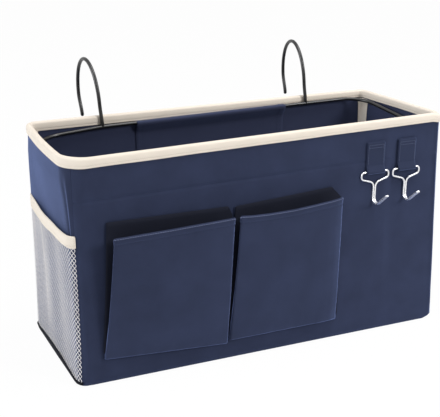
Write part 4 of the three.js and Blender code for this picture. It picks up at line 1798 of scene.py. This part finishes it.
    def build_net(self, name: str, side: Side) -> None:
        """Builds the knitted mesh as upright zigzag chains that touch their neighbours.

        Each chain's way swings to and fro as a flattened triangle wave of the height, and
        every second chain swings the other way, so that the touching lengths leave
        six-sided holes between them.

        Args:
            name: left or right.
            side: the end that it hangs on.
        """
        length = 2.0 * self.form.spans(side)[0] - 2.0
        chains = int(length / (self.cell_width / 2.0))
        low, high = self.hem - 0.6, self.top - self.band + 1.0
        rows = int((high - low) / self.cell_height) * 6 + 1
        height = np.linspace(low, high, rows)
        phase = (height - low) / self.cell_height
        triangle = 4.0 * np.abs(phase - np.floor(phase + 0.5)) - 1.0
        swing = np.clip(triangle * 1.7, -1.0, 1.0)
        number = np.arange(chains)[:, None]
        sign = np.where(number % 2 == 0, 1.0, -1.0)
        half = 0.5 - 0.5 * self.strand / self.cell_width
        share = (number + 0.5 + sign * swing * half * 0.98) / chains
        place = self.measured(side, share, height)
        low_edge = self.foot(place) - 0.6
        tall = low_edge + (height - low) * (high - low_edge) / (high - low)
        lift = 0.25 * swing * sign
        centre = self.point(side, place, tall, 0.75 + lift * 0.4)
        outward = unit(self.point(side, place, tall, 2.0 + 0.0 * tall) - centre)
        along = unit(np.gradient(centre, axis=1))
        across = unit(np.cross(along, outward))
        angle = np.linspace(0.0, FULL, 4, endpoint=False) + QUARTER / 2.0
        ring = (
            across[:, :, None] * (np.cos(angle) * self.strand * 0.48)[:, None]
            + outward[:, :, None] * (np.sin(angle) * self.strand * 0.26)[:, None]
        )
        points = centre[:, :, None] + ring
        faces = tube_faces(chains, rows, len(angle), [[0, 1, 2, 3]])
        flat = np.stack([place * length, tall], -1)
        cloth = np.repeat(flat.reshape(-1, 2), 4, 0)
        skin = Skin(points.reshape(-1, 3), faces, cloth[faces])
        publish(
            Piece(f"mesh_{name}_net", "white_mesh", (f"mesh_net_{name}",)), skin,
            self.finishes.mesh,
        )


@dataclass
class Tabs(Part):
    """Two webbing tabs on the front wall and the bent-wire hooks that swing in them.

    Attributes:
        width, webbing: width and thickness of the webbing.
        top: height of its folded upper edge.
        pair_centre, spacing: middle of the pair along x, and from one tab to the other.
        back_gap, ply_gap: from the wall to the webbing, and between its two plies.
        pinch: from the bar up to where the plies meet.
        wire: thickness of a hook's wire.
        bar_height: of the bars' middle.
        bar_clear: from a bar to the webbing.
        half_bar: half a bar's length.
        curl, shoulder, foot: how far below the bar the hook's bends lie.
        tip: how far the tip is in front of the bar and below it.
        bends: bend radii from the middle of the bar to the tip.
    """

    width: float = 19.5
    webbing: float = 1.1
    top: float = 186.0
    pair_centre: float = 131.0
    spacing: float = 35.0
    back_gap: float = 0.2
    ply_gap: float = 0.2
    pinch: float = 5.8
    wire: float = 1.8
    bar_height: float = 158.0
    bar_clear: float = 0.5
    half_bar: float = 15.0
    curl: float = 6.4
    shoulder: float = 10.6
    foot: float = 36.0
    tip: Pair = (20.6, 18.0)
    bends: tuple[float, ...] = (0.0, 2.9, 3.0, 5.5, 5.0, 1.0)

    @property
    def loop_radius(self) -> float:
        """Radius of the webbing's middle line round the bar."""
        return self.wire / 2.0 + self.bar_clear + self.webbing / 2.0

    @property
    def bar_out(self) -> float:
        """How far the bar's middle stands off the wall."""
        return self.back_gap + self.webbing / 2.0 + self.loop_radius

    def tab_line(self) -> Array:
        """The webbing from the side: down the wall, round the bar and up to the fold.

        Returns:
            Points with distance off the wall and height.
        """
        back = self.back_gap + self.webbing / 2.0
        front = back + self.webbing + self.ply_gap
        turn = np.linspace(0.0, math.pi, 17)
        loop = np.stack(
            [
                self.bar_out - self.loop_radius * np.cos(turn),
                self.bar_height - self.loop_radius * np.sin(turn),
            ],
            -1,
        )
        start = np.array([[back, self.top]])
        end = np.array([
            [front, self.bar_height + self.pinch], [front, self.top - 0.6],
        ])
        return np.vstack([start, loop, end])

    def build(self) -> None:
        """Builds both tabs, their stitches and their hooks."""
        for name, sign, body in (("a", -1.0, Body.HOOK_A), ("b", 1.0, Body.HOOK_B)):
            centre = self.pair_centre + sign * self.spacing / 2.0
            self.build_tab(name, centre)
            self.build_hook(name, centre, body)

    def build_tab(self, name: str, centre: float) -> None:
        """Builds one webbing tab with its box of stitches.

        Args:
            name: a or b.
            centre: its middle along x.
        """
        depth = self.form.depth / 2.0
        line = self.tab_line()
        reach = reach_along(line)
        side = read_at(np.linspace(0.0, reach[-1], 110), reach, line)
        tangent = unit(np.gradient(side, axis=0))
        normal = np.stack([tangent[:, 1], -tangent[:, 0]], -1)
        x = np.linspace(-self.width / 2.0, self.width / 2.0, 15)
        edge = (1.0 - 0.35 * smooth_step(1.0 - (self.width / 2.0 - np.abs(x)) / 1.2))[None]

        def face(sign: float) -> Array:
            """One face of the webbing, thinner towards its woven edges."""
            shift = sign * self.webbing / 2.0 * edge
            out = side[:, 0][:, None] + normal[:, 0][:, None] * shift
            up = side[:, 1][:, None] + normal[:, 1][:, None] * shift
            return np.stack([np.broadcast_to(x, out.shape) + centre, -depth - out, up], -1)

        publish(
            Piece(f"webbing_{name}_tab", "navy_webbing", (f"webbing_tab_{name}",)),
            closed_sheet(face(-1.0), face(1.0)), self.finishes.webbing,
        )
        front = depth + self.back_gap + 2.0 * self.webbing + self.ply_gap + 0.12
        inset = self.width / 2.0 - 1.3
        high, low = self.top - 2.6, self.bar_height + 7.0
        path = np.array([
            [centre + x, -front, z]
            for x, z in ((-inset, low), (-inset, high), (inset, high), (inset, low))
        ])
        second = path[1:3] - [0.0, 0.0, 2.6]
        threads = joined([
            stitches(np.linspace(start, end, 12), FORWARD, 2.4, 0.4)
            for start, end in [*zip(path[:-1], path[1:]), second]
        ])
        publish(
            Piece(f"webbing_{name}_stitches", "navy_webbing"), threads, self.finishes.pale_thread_and_highlight
        )

    def build_hook(self, name: str, centre: float, body: Body) -> None:
        """Builds one accessory hook: a single wire from the loop to the tip and back.

        Args:
            name: a or b.
            centre: its middle along x.
            body: the body that swings.
        """
        run, (reach, drop) = (self.wire + 0.3) / 2.0, self.tip
        half = np.array([
            [0.4, 0.0, 0.0], [self.half_bar, 0.0, 0.0], [self.half_bar, 0.0, -self.curl],
            [run, 0.0, -self.shoulder], [run, 0.0, -self.foot], [run, -reach, -drop],
        ])
        mirrored = half * [-1.0, 1.0, 1.0]
        line = bent_wire(np.vstack([mirrored, half[::-1]]), [*self.bends, *self.bends[::-1]])
        placed = line + [centre, -self.form.depth / 2.0 - self.bar_out, self.bar_height]
        publish(
            Piece(f"hook_{name}_wire", "chrome_wire", (f"accessory_hook_{name}",), body),
            round_wire(placed, self.wire / 2.0, 14), self.finishes.chrome,
        )


# Studio


@dataclass(frozen=True)
class Camera:
    """The photograph's camera, in the part's frame.

    Attributes:
        place: in millimetres.
        azimuth, elevation, roll: in degrees.
        focal: focal length in pixels of the photograph.
        centre: where the optical axis meets the photograph, in pixels.
        frame: the photograph's width and height in pixels.
        sensor: width in millimetres to which the focal length is scaled.
    """

    place: Triple = (-379.28, -736.54, 388.55)
    azimuth: float = -23.382
    elevation: float = 17.319
    roll: float = -0.158
    focal: float = 904.9
    centre: Pair = (175.6, 195.0)
    frame: Pair = (440.0, 417.0)
    sensor: float = 36.0

    def build(self) -> None:
        """Makes the camera and sets it as the scene's own."""
        azimuth, elevation, roll = (
            math.radians(angle) for angle in (self.azimuth, self.elevation, self.roll)
        )
        back = np.array([
            math.sin(azimuth) * math.cos(elevation),
            -math.cos(azimuth) * math.cos(elevation),
            math.sin(elevation),
        ])
        right = unit(np.cross(-back, [0.0, 0.0, 1.0]))
        up = np.cross(right, -back)
        turned_right = right * math.cos(roll) + up * math.sin(roll)
        turned_up = up * math.cos(roll) - right * math.sin(roll)
        data = bpy.data.cameras.new("photo camera")
        data.sensor_width = self.sensor
        data.lens = self.focal / self.frame[0] * self.sensor
        data.shift_x = (self.frame[0] / 2.0 - self.centre[0]) / self.frame[0]
        data.shift_y = (self.centre[1] - self.frame[1] / 2.0) / self.frame[0]
        data.clip_start, data.clip_end = 0.01, 20.0
        camera = bpy.data.objects.new("photo camera", data)
        camera.matrix_world = Matrix([
            (turned_right[i], turned_up[i], back[i], self.place[i] * MILLIMETRE)
            for i in range(3)
        ] + [(0.0, 0.0, 0.0, 1.0)])
        bpy.context.scene.collection.objects.link(camera)
        bpy.context.scene.camera = camera


@dataclass(frozen=True)
class Lamp:
    """A soft square lamp that faces the caddy.

    Attributes:
        name: of the lamp.
        place: in metres.
        size: of its side, in metres.
        power: in watts.
        color: linear colour of its light.
    """

    name: str
    place: Triple
    size: float
    power: float
    color: Triple = WHITE

    def build(self) -> None:
        """Makes the lamp, turned towards the middle of the box."""
        data = bpy.data.lights.new(self.name, "AREA")
        data.shape = "SQUARE"
        data.size = self.size
        data.energy = self.power
        data.color = self.color
        lamp = bpy.data.objects.new(self.name, data)
        back = unit(np.array(self.place) - [0.0, 0.0, 0.1])
        right = unit(np.cross([0.0, 0.0, 1.0], back))
        up = np.cross(back, right)
        lamp.matrix_world = Matrix(
            [(right[i], up[i], back[i], self.place[i]) for i in range(3)]
            + [(0.0, 0.0, 0.0, 1.0)]
        )
        bpy.context.scene.collection.objects.link(lamp)


@dataclass
class Studio:
    """A plain white studio: floor, world and soft lamps.

    Attributes:
        ambient: strength of the world's light on the object.
        floor_glow: how much of the floor's look is plain white.
        floor_reach: half of the floor's size in metres.
        floor_drop: how far it lies below the object, in metres.
        lamps: the lamps.
    """

    ambient: float = 0.4
    floor_glow: float = 0.97
    floor_reach: float = 6.0
    floor_drop: float = 0.0004
    lamps: tuple[Lamp, ...] = (
        Lamp("key", (1.2, -1.5, 1.15), 0.55, 23.0),
        Lamp("left", (-2.4, 0.1, 0.9), 1.2, 45.0, (0.94, 0.97, 1.0)),
        Lamp("top", (0.6, -0.4, 2.2), 1.3, 21.0),
        Lamp("over", (0.12, -0.12, 0.8), 0.4, 1.7),
    )

    def build(self) -> None:
        """Builds the floor, the world and the lamps."""
        self.build_world()
        self.build_floor()
        for lamp in self.lamps:
            lamp.build()
        bpy.context.scene.view_settings.view_transform = "Standard"

    def seen_rays(self, tree: bpy.types.NodeTree) -> bpy.types.NodeSocket:
        """Tells rays that see the studio from rays that only light the object.

        Args:
            tree: what the nodes go into.

        Returns:
            1 for camera, glossy and transmission rays, and 0 for all others.
        """
        path = tree.nodes.new("ShaderNodeLightPath")
        total = path.outputs["Is Camera Ray"]
        for name in ("Is Glossy Ray", "Is Transmission Ray"):
            most = tree.nodes.new("ShaderNodeMath")
            most.operation = "MAXIMUM"
            tree.links.new(total, most.inputs[0])
            tree.links.new(path.outputs[name], most.inputs[1])
            total = most.outputs[0]
        return total

    def build_world(self) -> None:
        """A world that looks white and lights the object at the ambient level."""
        world = bpy.data.worlds.new("white studio")
        world.use_nodes = True
        tree = world.node_tree
        tree.nodes.clear()
        output = tree.nodes.new("ShaderNodeOutputWorld")
        mix = tree.nodes.new("ShaderNodeMixShader")
        light, seen = (tree.nodes.new("ShaderNodeBackground") for _ in range(2))
        light.inputs["Strength"].default_value = self.ambient
        for background in (light, seen):
            background.inputs["Color"].default_value = (*WHITE, 1.0)
        tree.links.new(self.seen_rays(tree), mix.inputs[0])
        tree.links.new(light.outputs[0], mix.inputs[1])
        tree.links.new(seen.outputs[0], mix.inputs[2])
        tree.links.new(mix.outputs[0], output.inputs["Surface"])
        bpy.context.scene.world = world

    def build_floor(self) -> None:
        """A pale floor that looks almost white and keeps the object's shadow."""
        mesh = bpy.data.meshes.new("floor")
        reach = self.floor_reach
        corners = [(-reach, -reach), (reach, -reach), (reach, reach), (-reach, reach)]
        mesh.from_pydata([(x, y, -self.floor_drop) for x, y in corners], [], [(0, 1, 2, 3)])
        floor = bpy.data.objects.new("floor", mesh)
        bpy.context.scene.collection.objects.link(floor)
        shader = Shader("pale floor")
        shader.surface.inputs["Base Color"].default_value = (0.82, 0.82, 0.82, 1.0)
        shader.surface.inputs["Roughness"].default_value = 0.9
        glow = shader.node("ShaderNodeEmission")
        mix = shader.node("ShaderNodeMixShader")
        output = next(n for n in shader.tree.nodes if n.type == "OUTPUT_MATERIAL")
        share = shader.math("MULTIPLY", self.seen_rays(shader.tree), self.floor_glow)
        shader.join(share, mix.inputs[0])
        shader.join(shader.surface.outputs[0], mix.inputs[1])
        shader.join(glow.outputs[0], mix.inputs[2])
        shader.join(mix.outputs[0], output.inputs["Surface"])
        mesh.materials.append(shader.material)


def main() -> None:
    """Builds the studio and every sub-assembly in order."""
    logging.basicConfig(level=logging.INFO, format="%(message)s")
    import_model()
    Camera().build()
    Studio().build()
    form = BoxForm()
    finishes = Finishes()
    for part in (
        Walls(form, finishes),
        RimTape(form, finishes),
        WireWork(form, finishes),
        FrontPockets(form, finishes),
        MeshPockets(form, finishes),
        Tabs(form, finishes),
    ):
        log.info("building %s", type(part).__name__)
        part.build()


if __name__ == "__main__":
    main()
